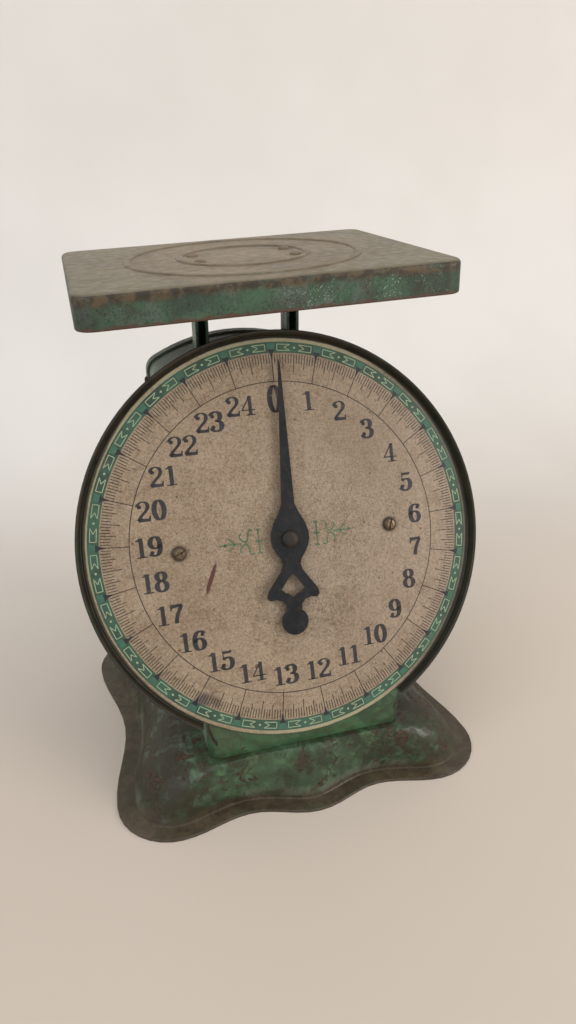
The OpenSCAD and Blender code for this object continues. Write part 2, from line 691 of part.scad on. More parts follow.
module platform() {
  hx = plat_w / 2 - plat_corner;
  hy = plat_d / 2 - plat_corner;
  color("#7a6a4c") placed() plat_frame() difference() {
    union() {
      translate([-hx, -hy, -plat_t]) cube([2 * hx, 2 * hy, plat_t]);
      for (s = [0, 180]) rotate([0, 0, s]) {
        translate([hx, hy, 0]) rotate_extrude(angle = 90) edge_section();
        translate([hx, -hy, 0]) rotate([0, 0, -90]) rotate_extrude(angle = 90) edge_section();
        translate([hx, hy, 0]) rotate([90, 0, 0]) linear_extrude(2 * hy) edge_section();
        translate([-hx, hy, 0]) rotate([90, 0, 90]) linear_extrude(2 * hx) edge_section();
      }
      for (d = [ring_outer, ring_inner]) ring_section(d);
    }
    // underside of the pressed rings
    for (d = [ring_outer, ring_inner]) translate([0, 0, -plat_t]) rotate_extrude($fn = 96)
      polygon([[d / 2 - 1.8, -0.5], [d / 2 - 1, ring_h * 0.6], [d / 2 + 1, ring_h * 0.6], [d / 2 + 1.8, -0.5]]);
    for (x = [-post_x, post_x]) for (y = [-11, 11]) translate([x, y - 1, -5]) cylinder(r = 1.6, h = 10);
  }
}

module platform_rivets() {
  color("#6d6558") placed() plat_frame() for (x = [-post_x, post_x]) for (y = [-11, 11])
    translate([x, y - 1, 0]) {
      dome(3.2, 1.3);
      translate([0, 0, -plat_t - post_t]) cylinder(r = 1.6, h = plat_t + post_t);
      translate([0, 0, -plat_t - post_t]) mirror([0, 0, 1]) dome(2.7, 1.2);
    }
}

module post(s) {
  difference() {
    union() {
      intersection() {
        translate([s * post_x, post_y, post_foot]) linear_extrude(plat_z - post_foot + 20) difference() {
          translate([-post_w / 2, -post_d / 2]) square([post_w, post_d]);
          translate([-post_w / 2 + post_t, -post_d / 2 - 1]) square([post_w - 2 * post_t, post_d - post_t + 1]);
        }
        plat_frame() translate([-100, -100, -plat_t - post_t / 2 - 400]) cube([200, 200, 400]);
      }
      plat_frame() translate([s * post_x - tab_w / 2, -1 - tab_l / 2, -plat_t - post_t])
        cube([tab_w, tab_l, post_t]);
    }
    for (y = [-11, 11]) plat_frame() translate([s * post_x, y - 1, -8]) cylinder(r = 1.6, h = 10);
    for (q = post_rivet_spots) rod_x(post_pin_r, s * post_in - 2, s * post_in + 2, q[0], q[1]);
  }
}

// the rear rivets stand midway between the crosshead strap and the web of the post
rivet_front = post_y - post_d / 2 + 2.6;
rivet_back = post_y + (strap_t / 2 + post_d / 2 - post_t) / 2;
post_rivet_spots = [for (z = [post_foot + 4, bar_z + bar_h / 2]) for (y = [rivet_front, rivet_back]) [y, z]];

module left_post() {
  color("#3f5745") placed() post(-1);
}

module right_post() {
  color("#3f5745") placed() post(1);
}

module post_rivets() {
  color("#8a8a86") placed() for (s = [-1, 1]) for (q = post_rivet_spots)
    translate([s * (post_in - strap_t), q[0], q[1]]) rotate([0, s * 90, 0]) {
      mirror([0, 0, 1]) dome(post_rivet_r, 0.8);
      cylinder(r = post_pin_r, h = strap_t + post_t);
      translate([0, 0, strap_t + post_t]) dome(post_rivet_r, 0.7);
    }
}

lug_x = 9;
lug_t = 2;
lug_l = link_pin_d + 2;
lug_h = 8.5;

module crosshead() {
  color("#77736a") placed() difference() {
    union() {
      translate([-post_in, plane_y - strap_t / 2, post_foot]) cube([2 * post_in, strap_t, crosshead_h]);
      for (s = [-1, 1]) translate([s > 0 ? post_in - strap_t : -post_in, post_y - post_d / 2 - 0.5, post_foot])
        cube([strap_t, post_d + 0.5, lug_h]);
      for (s = [-1, 1]) translate([s > 0 ? lug_x : -lug_x - lug_t, link_y - lug_l, post_foot])
        cube([lug_t, plane_y - link_y + lug_l, 2 * (link_z - post_foot)]);
    }
    for (s = [-1, 1]) translate([s * spring_x, plane_y - 3, hook_low]) rotate([-90, 0, 0])
      cylinder(r = wire_d / 2 + 0.3, h = 6);
    // slot for the check link pin
    translate([-20, link_y - link_back - link_pin_d / 2 - 0.3, link_z - link_pin_d / 2 - 0.08])
      cube([40, link_back + link_pin_d + 0.6, link_pin_d + 0.16]);
    for (q = post_rivet_spots) rod_x(post_pin_r, -post_in - 1, post_in + 1, q[0], q[1]);
  }
}

module rack_arm() {
  color("#77736a") placed() difference() {
    union() {
      translate([-post_in, bar_y, bar_z]) cube([2 * post_in, strap_t, bar_h]);
      for (s = [-1, 1]) translate([s > 0 ? post_in - strap_t : -post_in, bar_y, bar_z])
        cube([strap_t, post_y + post_d / 2 - bar_y, bar_h]);
      translate([arm_x, pin_y - slot_run - 4, bar_z + 3])
        cube([strap_t, bar_y - pin_y + slot_run + 4 + strap_t, bar_h - 3]);
    }
    translate([arm_x - 1, pin_y - slot_run - 1.2, pin_z - 1.08]) cube([strap_t + 2, slot_run + 2.4, 2.16]);
    for (q = post_rivet_spots) rod_x(post_pin_r, -post_in - 1, post_in + 1, q[0], q[1]);
  }
}

// ---------- springs ----------
hook_r = 4.5;
coil_seg = 12;
coil_r = spring_d / 2;
spring_mid = (hook_low + hook_high) / 2;
ring_c = hook_low + hook_r - spring_mid;
coil_z0 = ring_c + hook_r + 2.6;
turn_half = spring_turns * 180;
coil_pitch = -2 * coil_z0 / spring_turns;

// lower hook, in the plane across the strap, then a half turn out to the coil
function hook_path() = concat(
  [for (i = [0 : 9]) let (a = -20 - 25 * i) [0, hook_r * cos(a), ring_c + hook_r * sin(a)]],
  [[0, -0.9, ring_c + hook_r - 0.1]],
  [for (i = [1 : 5]) let (t = i / 6, a = 90 + 180 * t, r = coil_r * pow(t, 0.8))
    [r * cos(a), r * sin(a), lerp(ring_c + hook_r, coil_z0, t)]]);
function coil_path() = [for (i = [0 : spring_turns * coil_seg]) let (a = -turn_half + 360 * i / coil_seg)
  [coil_r * cos(a + 90), coil_r * sin(a + 90), coil_pitch * a / 360]];
function spun(p) = [for (i = [len(p) - 1 : -1 : 0]) [-p[i][0], p[i][1], -p[i][2]]];
function unit(v) = v / norm(v);
function tangents(p) = let (n = len(p)) [for (i = [0 : n - 1]) unit(p[min(i + 1, n - 1)] - p[max(i - 1, 0)])];
function carry(u, t) = unit(u - (u * t) * t);
wire_n = 6;

module swept(p, r) {
  t = tangents(p);
  n = len(p);
  us = [for (i = 0, u = carry([1, 0, 0], t[0]); i < n; i = i + 1, u = carry(u, t[min(i, n - 1)])) u];
  pts = [for (i = [0 : n - 1]) for (k = [0 : wire_n - 1]) let (a = 360 * k / wire_n, v = cross(t[i], us[i]))
    p[i] + r * (cos(a) * us[i] + sin(a) * v)];
  polyhedron(points = pts, faces = concat(
    [[for (k = [0 : wire_n - 1]) k]],
    [for (i = [0 : n - 2]) for (k = [0 : wire_n - 1]) let (j = (k + 1) % wire_n)
      [i * wire_n + k, (i + 1) * wire_n + j, i * wire_n + j]],
    [for (i = [0 : n - 2]) for (k = [0 : wire_n - 1]) let (j = (k + 1) % wire_n)
      [i * wire_n + k, (i + 1) * wire_n + k, (i + 1) * wire_n + j]],
    [[for (k = [wire_n - 1 : -1 : 0]) (n - 1) * wire_n + k]]), convexity = 10);
}

module spring() {
  translate([0, plane_y, spring_mid]) swept(concat(hook_path(), coil_path(), spun(hook_path())), wire_d / 2);
}

module left_spring() {
  color("#8f8c86") placed() translate([-spring_x, 0, 0]) spring();
}

module right_spring() {
  color("#8f8c86") placed() translate([spring_x, 0, 0]) spring();
}

// ---------- zero setting ----------
module spring_hanger() {
  color("#77736a") placed() difference() {
    union() {
      translate([-spring_x - 5, plane_y - strap_t / 2, hanger_z]) cube([2 * spring_x + 10, strap_t, hanger_h]);
      translate([-boss_w / 2, plane_y - boss_w / 2, hanger_z + 1]) cube([boss_w, boss_w, hanger_h - 1]);
    }
    translate([0, plane_y, hanger_z - 1]) cylinder(r = zero_d / 2 + run_gap, h = hanger_h + 5);
    for (s = [-1, 1]) translate([s * spring_x, plane_y - 3, hook_high]) rotate([-90, 0, 0])
      cylinder(r = wire_d / 2 + 0.3, h = 6);
  }
}

bracket_hw = house_hw - sheet_t;

module hanger_bracket() {
  color("#77736a") placed() difference() {
    union() {
      translate([-bracket_hw, plane_y - 14, bracket_z]) cube([2 * bracket_hw, 28, bracket_t]);
      for (s = [-1, 1]) translate([s > 0 ? bracket_hw - bracket_t : -bracket_hw, plane_y - 14, bracket_z - 14])
        cube([bracket_t, 28, 15]);
      // cheeks that keep the hanger from turning
      for (s = [-1, 1]) translate([-4, plane_y + s * (boss_w / 2 + 0.15 + 0.75) - 0.75, bracket_z - 20])
        cube([8, 1.5, 21]);
    }
    for (s = [-1, 1]) translate([s * post_x - post_w / 2 - 0.1, post_y - post_d / 2 - 0.1, bracket_z - 1])
      cube([post_w + 0.2, post_d + 0.2, bracket_t + 2]);
    translate([0, plane_y, bracket_z - 1]) cylinder(r = zero_d / 2 + run_gap, h = bracket_t + 2);
  }
}

knob_z = house_top + 0.3;

module zero_screw() {
  color("#9a9a98") placed() translate([0, plane_y, 0]) rotate_extrude() polygon([[0, hanger_z - 6],
    [zero_d / 2 - 0.4, hanger_z - 6], [zero_d / 2, hanger_z - 5.6], [zero_d / 2, bracket_z - 1.9],
    [zero_d / 2 - 0.6, bracket_z - 1.9], [zero_d / 2 - 0.6, bracket_z - 0.9], [zero_d / 2, bracket_z - 0.9],
    [zero_d / 2, bracket_z + bracket_t], [zero_d / 2 + 2.4, bracket_z + bracket_t],
    [zero_d / 2 + 2.4, bracket_z + bracket_t + 2.5], [zero_d / 2, bracket_z + bracket_t + 2.5],
    [zero_d / 2, knob_z], [zero_d / 2 - 0.6, knob_z], [zero_d / 2 - 0.6, knob_z + knob_h - 0.6],
    [0, knob_z + knob_h - 0.6]]);
}

module zero_knob() {
  color("#8d7a55") placed() translate([0, plane_y, knob_z]) difference() {
    union() {
      linear_extrude(knob_h - 0.8) polygon([for (i = [0 : 71]) let (r = knob_d / 2 - (i % 2 == 0 ? 0 : 0.4))
        [r * cos(5 * i), r * sin(5 * i)]]);
      translate([0, 0, knob_h - 0.8]) cylinder(r1 = knob_d / 2 - 0.5, r2 = knob_d / 2 - 1.3, h = 0.8);
    }
    translate([0, 0, -1]) cylinder(r = zero_d / 2 - 0.6, h = knob_h + 0.4);
  }
}

module screw_clip() {
  color("#8a8a86") placed() translate([0, plane_y, bracket_z - 1.9]) difference() {
    cylinder(r = zero_d / 2 + 2, h = 1);
    translate([0, 0, -1]) cylinder(r = zero_d / 2 - 0.6, h = 4);
    translate([0, -zero_d / 2 + 0.75, -1]) cube([10, zero_d - 1.5, 4]);
  }
}

// ---------- check link ----------
link_x = lug_x + lug_t + 0.3;
link_t = 1.5;
link_w = 8;

module check_link() {
  color("#77736a") placed() translate([0, pivot_y, link_mid]) rotate([link_half, 0, 0]) difference() {
    union() {
      for (s = [-1, 1]) translate([s > 0 ? link_x : -link_x - link_t, 0, 0]) {
        translate([0, 0, -link_w / 2]) cube([link_t, link_l, link_w]);
        for (y = [0, link_l]) translate([0, y, 0]) rotate([0, 90, 0]) cylinder(r = link_w / 2, h = link_t);
      }
      translate([-link_x - link_t, link_l / 2 - 18, -link_w / 2])
        cube([2 * link_x + 2 * link_t, link_l / 2 - 6, link_t]);
    }
    translate([-30, 0, 0]) rotate([0, 90, 0]) cylinder(r = link_pin_d / 2 + run_gap, h = 60);
    translate([-30, link_l, 0]) rotate([0, 90, 0]) cylinder(r = link_pin_d / 2, h = 60);
    translate([0, link_l / 2 - 1, -10]) cylinder(r = 7, h = 20);
  }
}

module link_pin() {
  color("#9a9a98") placed() translate([0, pivot_y, link_mid]) rotate([link_half, 0, 0])
    translate([0, link_l, 0]) rotate([0, 90, 0]) {
      translate([0, 0, -link_x - link_t - 1]) cylinder(r = link_pin_d / 2, h = 2 * (link_x + link_t + 1));
      for (s = [-1, 1]) translate([0, 0, s > 0 ? link_x + link_t : -link_x - link_t - 0.8])
        cylinder(r = link_pin_d / 2 + 0.8, h = 0.8);
    }
}

ear_x = link_x + link_t + 0.4;

module link_bracket() {
  color("#77736a") placed() difference() {
    union() {
      translate([-ear_x - 2, pivot_y - 6, deck_h]) cube([2 * ear_x + 4, link_foot, 2]);
      for (s = [-1, 1]) translate([s > 0 ? ear_x : -ear_x - 2, pivot_y - 6, deck_h]) {
        cube([2, 12, link_mid - deck_h]);
        translate([0, 6, link_mid - deck_h]) rotate([0, 90, 0]) cylinder(r = 6, h = 2);
      }
    }
    rod_x(link_pin_d / 2, -40, 40, pivot_y, link_mid);
    for (s = bracket_spots) translate([s[0], s[1], deck_h - 5]) cylinder(r = foot_hole_r, h = 10);
  }
}

module link_rod() {
  color("#9a9a98") placed() {
    rod_x(link_pin_d / 2, -ear_x - 3, ear_x + 3, pivot_y, link_mid);
    for (s = [-1, 1]) rod_x(link_pin_d / 2 + 0.8, s * (ear_x + 2.5) - 0.5, s * (ear_x + 2.5) + 0.5,
      pivot_y, link_mid);
  }
}

base();
housing();
front_pan();
back_cover();
cover_screws();
base_screws();
base_nuts();
dial_plate();
dial_screws();
dial_nuts();
pan_rivets();
movement_frame();
frame_rivets();
front_bearing();
rear_bearing();
arbor();
pinion();
pointer();
pointer_boss();
pointer_collar();
rack();
rack_pin();
rack_keeper();
keeper_screws();
rack_arm();
platform();
platform_rivets();
left_post();
right_post();
post_rivets();
crosshead();
left_spring();
right_spring();
spring_hanger();
hanger_bracket();
zero_screw();
zero_knob();
screw_clip();
check_link();
link_pin();
link_bracket();
link_rod();
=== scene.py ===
# %% [markdown]
# # A kitchen scale with a slanting dial
# The solids come ready made from the packed frame: a pressed base, a housing, a dial that leans back, a
# platform on two posts, and the movement inside. This notebook gives them their surfaces, prints the
# dial, and sets up the room, its light and the camera. The scene is in metres, so a size in millimetres
# is written with MM.

import json
import math

import bpy
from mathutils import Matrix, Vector


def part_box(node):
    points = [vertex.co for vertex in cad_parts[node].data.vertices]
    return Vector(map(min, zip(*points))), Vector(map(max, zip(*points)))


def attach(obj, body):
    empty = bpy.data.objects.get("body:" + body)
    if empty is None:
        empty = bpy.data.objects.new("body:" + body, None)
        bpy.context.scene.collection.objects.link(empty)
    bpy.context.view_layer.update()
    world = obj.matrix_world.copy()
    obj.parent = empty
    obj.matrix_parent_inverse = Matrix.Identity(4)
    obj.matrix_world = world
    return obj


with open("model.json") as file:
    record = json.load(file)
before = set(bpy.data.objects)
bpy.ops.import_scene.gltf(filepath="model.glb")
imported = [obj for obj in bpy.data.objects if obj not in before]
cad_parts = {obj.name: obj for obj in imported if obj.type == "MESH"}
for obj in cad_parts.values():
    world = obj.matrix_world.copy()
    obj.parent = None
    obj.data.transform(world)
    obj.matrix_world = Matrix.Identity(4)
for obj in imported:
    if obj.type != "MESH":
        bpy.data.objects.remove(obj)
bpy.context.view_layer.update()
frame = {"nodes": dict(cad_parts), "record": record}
MM = 0.001
print("pieces in the frame:", len(frame["nodes"]))

# %% [markdown]
# ## Where the dial is
# Everything printed on the dial, and every stain on it, needs the dial's own axes. The pointer turns
# about a line square to the dial, and the record states that line, so the lean is read from there and not
# typed in.

# %% The dial's axes and centre
pointer_joint = next(j for j in frame["record"]["behaviour"]["joints"] if j["name"] == "pointer_turn")
OUTWARD = -Vector(pointer_joint["axis"])
UPWARD = Vector((0, OUTWARD.z, -OUTWARD.y))
plate_low, plate_high = (Vector(v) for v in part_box("dial_plate"))
plate = plate_high - plate_low
plate_thickness = (plate.z - plate.x * UPWARD.z) / OUTWARD.z
DIAL_CENTRE = (plate_low + plate_high) / 2 + OUTWARD * plate_thickness / 2
lean = math.degrees(math.asin(OUTWARD.z))
print("dial of", round(plate.x / MM, 1), "mm, leaning back by", round(lean, 1), "degrees")

# %% Places on the dial and on its print
PRINT_TURN = 1.2  # degrees clockwise: the plate was put on a little askew


def on_dial(x, y, lift=0.0):
    """The place x across and y up the dial, lifted off it, all in mm."""
    return DIAL_CENTRE + Vector((x * MM, 0, 0)) + UPWARD * (y * MM) + OUTWARD * (lift * MM)


def on_print(r, degrees, lift=0.0):
    """The place r mm from the centre, clockwise from the printed zero."""
    a = math.radians(degrees + PRINT_TURN)
    return on_dial(r * math.sin(a), r * math.cos(a), lift)


print("top of the print at", [round(v / MM, 1) for v in on_print(plate.x / MM / 2, 0)], "mm")

# %% [markdown]
# ## How a finish is written
# A material is a tree of shader nodes. One function, add, puts in a node with its settings and links.
# What it gives back is a Field: a value that varies over the surface. A Field can be added and multiplied
# like a number, and that puts in the nodes for the sum. Colours are sRGB hex codes, because a paint chart
# gives them, and one function turns them to the linear light that the shader works in.

# %% Colours
def linear(code):
    """Linear colour with alpha from an sRGB hex code."""
    parts = [int(code[i : i + 2], 16) / 255 for i in (1, 3, 5)]
    return tuple(c / 12.92 if c <= 0.04045 else ((c + 0.055) / 1.055) ** 2.4 for c in parts) + (1.0,)


print("a middle grey in linear light:", round(linear("#808080")[0], 3))

# %% Fields
class Field:
    """A value that varies over a surface."""

    def __init__(self, finish, socket):
        self.finish = finish
        self.socket = socket

    def work_out(self, operation, first, second=0.0):
        return self.finish.add("ShaderNodeMath", {0: first, 1: second}, operation=operation)

    def __add__(self, other):
        return self.work_out("ADD", self, other)

    def __sub__(self, other):
        return self.work_out("SUBTRACT", self, other)

    def __rsub__(self, number):
        return self.work_out("SUBTRACT", number, self)

    def __mul__(self, other):
        return self.work_out("MULTIPLY", self, other)

    def __truediv__(self, other):
        return self.work_out("DIVIDE", self, other)

    def __abs__(self):
        return self.work_out("ABSOLUTE", self)

    def root(self):
        return self.work_out("SQRT", self)

    def or_more(self, other):
        return self.work_out("MAXIMUM", self, other)

    def between(self, start, end, low=0.0, high=1.0, kind="SMOOTHSTEP"):
        """Low where the value is start, high where it is end, and a fade between the two."""
        inputs = {"Value": self, "From Min": start, "From Max": end, "To Min": low, "To Max": high}
        return self.finish.add("ShaderNodeMapRange", inputs, interpolation_type=kind)


print("besides + - * / and abs a field knows:", [k for k in vars(Field) if not k.startswith("_")])

# %% A finish
class Finish:
    """One material and its node tree, begun with the place on the surface."""

    def __init__(self, name):
        self.material = bpy.data.materials.new(name)
        self.material.use_nodes = True
        self.tree = self.material.node_tree
        self.tree.nodes.clear()
        self.place = self.add("ShaderNodeTexCoord", out="Object")

    def add(self, kind, inputs=None, out=0, **settings):
        """Add a node with its settings and links, and give back one of its outputs."""
        node = self.tree.nodes.new(kind)
        for key, value in settings.items():
            setattr(node, key, value)
        for key, value in (inputs or {}).items():
            if isinstance(value, Field):
                self.tree.links.new(value.socket, node.inputs[key])
            else:
                node.inputs[key].default_value = linear(value) if isinstance(value, str) else value
        return Field(self, node.outputs[out]) if node.outputs else None


# %% [markdown]
# ## Layers of age
# Old enamel is seldom one colour. What the eye reads as age is a few layers, each with its own size:
# clouds of fading some centimetres wide, blots of dirt, and pits finer than a millimetre. So a layer here
# is clouds of a real width in millimetres, cut off sharply or softly, and a coat of colour laid through
# them. Real pits are often 0.2 mm wide. They wouldn't show at this distance, so the finest are drawn at
# 0.7 mm.

# %% Clouds of a real size
def clouds(m, mm, detail, rough, swirl=0.0, seed=0.0, stretch=None):
    """Clouds about mm wide, from 0 to 1 and mostly near a half; a seed moves them elsewhere."""
    place = m.place
    if seed or stretch:
        moved = (seed, seed * 0.7, seed * 1.3)
        inputs = {"Vector": place, "Location": moved, "Scale": stretch or (1, 1, 1)}
        place = m.add("ShaderNodeMapping", inputs)
    inputs = {"Vector": place, "Scale": 1 / (mm * MM), "Detail": detail}
    inputs.update({"Roughness": rough, "Distortion": swirl})
    return m.add("ShaderNodeTexNoise", inputs, "Fac")


print("the scale for clouds of 7 mm:", round(1 / (7 * MM)), "per metre")

# %% A coat of colour
def coat(m, under, over, cover, share=1.0, blend="MIX"):
    """One colour laid over another where cover is 1, as thickly as the share says."""
    if share != 1.0:
        cover = cover * share
    # a Mix node has sockets for numbers, vectors and colours; these are its numbers for colours
    inputs = {0: cover, 6: under, 7: over}
    return m.add("ShaderNodeMix", inputs, 2, data_type="RGBA", blend_type=blend)


# %% Wear along edges, found from the shape
def edges(m, mm):
    """1 on sharp edges and 0 on flats: an edge is where the normal changes within mm."""
    rounded = m.add("ShaderNodeBevel", {"Radius": mm * MM}, samples=4)
    inputs = {0: rounded, 1: m.add("ShaderNodeNewGeometry", out="Normal")}
    same = m.add("ShaderNodeVectorMath", inputs, "Value", operation="DOT_PRODUCT")
    return same.between(0.995, 0.85)


# %% The end of a finish
def finished(m, color, rough, metallic, height, height_mm, strength, shine=0.5, under=None):
    """Close the tree: a relief of height_mm under a principled shader. The IOR stays at its 1.5."""
    inputs = {"Base Color": color, "Roughness": rough, "Metallic": metallic, "Specular IOR Level": shine}
    if height is not None:
        relief = {"Height": height, "Distance": height_mm * MM, "Strength": strength}
        if under is not None:
            relief["Normal"] = under
        inputs["Normal"] = m.add("ShaderNodeBump", relief)
    shader = m.add("ShaderNodeBsdfPrincipled", inputs)
    m.add("ShaderNodeOutputMaterial", {"Surface": shader})
    print(f"{m.material.name}: {len(m.tree.nodes)} nodes")
    return m.material


# %% [markdown]
# ## Stove enamel
# The base, the housing, the pan and the posts are steel sheet, pressed and then dipped in green enamel.
# Enamel is a glassy coat over the steel, so it isn't a metal and its IOR is that of glass, 1.5. Its gloss
# varies: 0.2 to 0.6 in roughness where it is clean, near 0.8 on dirt and rust. With age it fades in
# clouds, gathers brown grime in soft patches, chips down to rust, and wears through along its edges. It
# could be painted by hand on an unwrapped picture, but each pressing would need its own. Layers sized in
# millimetres fit all of them, and the edges are found from the shape itself.

# %% Rust where the enamel has gone
def rust(m):
    """Dark and red rust in grains of a millimetre or two."""
    grains = coat(m, "#2f2118", "#594030", clouds(m, 1.5, 4, 0.7, 0, 0.9).between(0.4, 0.65))
    return coat(m, grains, "#1b1714", clouds(m, 4, 4, 0.6, 0, 6.1).between(0.5, 0.7), 0.5)


# %% Enamel that has gone brown
def browned(m, color, where, first, second, third):
    """Enamel whose green has gone to three browns where it is handled or rubbed."""
    brown = coat(m, first, second, clouds(m, 12, 6, 0.7, 0.5, 3.3).between(0.38, 0.68))
    brown = coat(m, brown, "#241d15", clouds(m, 3, 5, 0.7, 0, 5.0).between(0.5, 0.7), 0.5)
    brown = coat(m, brown, third, clouds(m, 17, 5, 0.6, 0.3, 8.8).between(0.5, 0.68), 0.6)
    return coat(m, color, brown, where)


# %% Enamel
def enamel(name, tones, chips, edge_mm, rough, grime, soiling, seed=0.0, dirtier=None, rim=None,
           round_mm=0.0):
    """Aged enamel: three tones, grime, rust chips, worn edges and at times a brown rim."""
    m = Finish(name)
    dark, middle, light = tones
    mottle = clouds(m, 7, 5, 0.65, 0.4, 0.3 + seed)
    fine = clouds(m, 0.8, 3, 0.6)
    color = coat(m, dark, middle, clouds(m, 34, 3, 0.55, 0.4, seed).between(0.36, 0.64))
    color = coat(m, color, light, mottle.between(0.46, 0.7), 0.6)
    color = coat(m, color, dark, fine.between(0.5, 0.75), 0.3)
    # broad soft grime with an uneven middle
    dirt = clouds(m, 20, 5, 0.65, 0.7, 1.7 + seed) * 0.75 + clouds(m, 3.5, 5, 0.75, 0.2, 2.3) * 0.25
    if dirtier:
        dirt = dirt + dirtier(m) * 0.16
    soiled = dirt.between(0.47, 0.62)
    color = coat(m, color, grime, soiled, soiling)
    # chips in the open, and wear along the edges
    sound = 0.68 - 0.1 * chips
    chipped = clouds(m, 9, 8, 0.74, 0.6, 2.9 + seed).between(sound, sound + 0.02)
    rubbed = (edges(m, edge_mm) * 0.34 + clouds(m, 5, 6, 0.7, 0.3, 4.1)).between(0.72, 0.82)
    bare = chipped.or_more(rubbed)
    if rim:
        color, brown = rim(m, color)
        bare = bare * (1.0 - brown * 0.8)
    color = coat(m, color, rust(m), bare, 0.9)
    clean = mottle.between(0.3, 0.7, rough[0], rough[1], "LINEAR")
    dull = clean.or_more(bare.or_more(soiled * 0.7) * 0.78)
    # the sheet is never quite flat: shallow dips under the coat, and chips sunk into it
    dips = {"Height": clouds(m, 3.4, 3, 0.5, 0, 7.7), "Distance": 0.16 * MM, "Strength": 0.5}
    if round_mm:
        dips["Normal"] = m.add("ShaderNodeBevel", {"Radius": round_mm * MM}, samples=8)
    uneven = m.add("ShaderNodeBump", dips)
    return finished(m, color, dull, 0.0, fine * 0.2 - bare, 0.12, 0.8, under=uneven)


# %% The housing's and the posts' enamel
BODY_TONES = ("#536153", "#6b7d6c", "#828e80")
POST_TONES = ("#3b5948", "#50735e", "#748f7c")
BODY_ENAMEL = enamel("green_enamel_body", BODY_TONES, chips=0.2, edge_mm=1.0, rough=(0.4, 0.6),
                     grime="#605a48", soiling=0.6)
POST_ENAMEL = enamel("green_enamel_posts", POST_TONES, chips=0.35, edge_mm=0.8, rough=(0.3, 0.5),
                     grime="#423d31", soiling=0.5)

# %% [markdown]
# The base stands on a flat flange. Years of sliding over tables have rubbed its green away, so it is
# brown, with a painted highlight, a pale line, where the slope begins. Grime lies thickest in the corners,
# which a cloth doesn't reach. Both are found from where a point lies: its height over the table, and how
# far it is from the middle.

# %% Distance along a line, and a ragged margin
def along(m, direction, origin=(0, 0, 0)):
    """Metres from the origin in a direction."""
    offset = m.add("ShaderNodeVectorMath", {0: m.place, 1: tuple(origin)}, operation="SUBTRACT")
    inputs = {0: offset, 1: tuple(direction)}
    return m.add("ShaderNodeVectorMath", inputs, "Value", operation="DOT_PRODUCT")


def ragged(m, width, mm, detail, rough, swirl=0.0, seed=0.0):
    """Clouds about mm wide that move a margin by up to half the width either way."""
    return (clouds(m, mm, detail, rough, swirl, seed) - 0.5) * width


# %% The base's enamel
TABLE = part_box("base")[0][2]
print("the table is at", TABLE)


def base_flange(m, color):
    """The brown flange, and a painted highlight: a pale line at the foot of the slope."""
    height = along(m, (0, 0, 1), (0, 0, TABLE)) + ragged(m, 8 * MM, 11, 6, 0.7, 0.4, 8.2)
    brown = height.between(9.2 * MM, 1.2 * MM)
    color = browned(m, color, brown, "#3f3628", "#584d3b", "#4c4d39")
    foot = height.between(2.2 * MM, 4.6 * MM) * height.between(10.5 * MM, 6 * MM)
    # painted highlight: a pale broken line where the slope curves up from the flange
    foot_highlight = foot * clouds(m, 24, 4, 0.6, 0, 5.5).between(0.46, 0.62)
    return coat(m, color, "#75796a", foot_highlight, 0.4), brown


def base_corners(m):
    return abs(along(m, (1, 0, 0))).between(45 * MM, 85 * MM)


BASE_TONES = ("#2b3827", "#415a40", "#5d7d5a")
BASE_ENAMEL = enamel("green_enamel_base", BASE_TONES, chips=1.25, edge_mm=1.2, rough=(0.22, 0.42),
                     grime="#2c2312", soiling=0.85, seed=1.3, dirtier=base_corners, rim=base_flange,
                     round_mm=1.6)

# %% [markdown]
# The pan's flared rim is handled most and has gone brown all round, while the apron below the dial lies
# in its shelter and is the greenest part of the scale. They are one pressing, so they can't have a
# material each. The apron is told from the rim by the way it faces, by how low it is and by how far in.

# %% The pan's enamel
APRON_TOP, APRON_HALF = 64, 62.5  # mm: its height over the table, and half its width


def facing(m, direction):
    """1 where the surface faces the direction, 0 where it stands square to it."""
    inputs = {0: m.add("ShaderNodeNewGeometry", out="Normal"), 1: tuple(direction)}
    return m.add("ShaderNodeVectorMath", inputs, "Value", operation="DOT_PRODUCT")


def pan_rim(m, color):
    """The whole rim is brown; the upright apron and the floor beside it stay green."""
    front = along(m, OUTWARD, DIAL_CENTRE - OUTWARD * (2.4 * MM)).between(-0.6 * MM, 0.0)
    forward = facing(m, (0, -1, 0))
    sideways = abs(facing(m, (1, 0, 0)))
    upright = forward.or_more(sideways).between(0.955, 0.975)
    level = along(m, OUTWARD, DIAL_CENTRE).between(1.0 * MM, 0.5 * MM)
    floor = facing(m, OUTWARD).between(0.97, 0.985) * level
    low = along(m, (0, 0, 1)).between((APRON_TOP + 6) * MM, APRON_TOP * MM)
    inside = abs(along(m, (1, 0, 0), DIAL_CENTRE)).between((APRON_HALF + 1.5) * MM, APRON_HALF * MM)
    brown = front * (1.0 - upright.or_more(floor) * low * inside)
    return browned(m, color, brown, "#1f1c13", "#302a1d", "#27301f"), brown


PAN_TONES = ("#2f4630", "#426644", "#547b56")
PAN_ENAMEL = enamel("browned_enamel_rim", PAN_TONES, chips=0.5, edge_mm=0.8, rough=(0.3, 0.52),
                    grime="#3b3a26", soiling=0.6, rim=pan_rim)
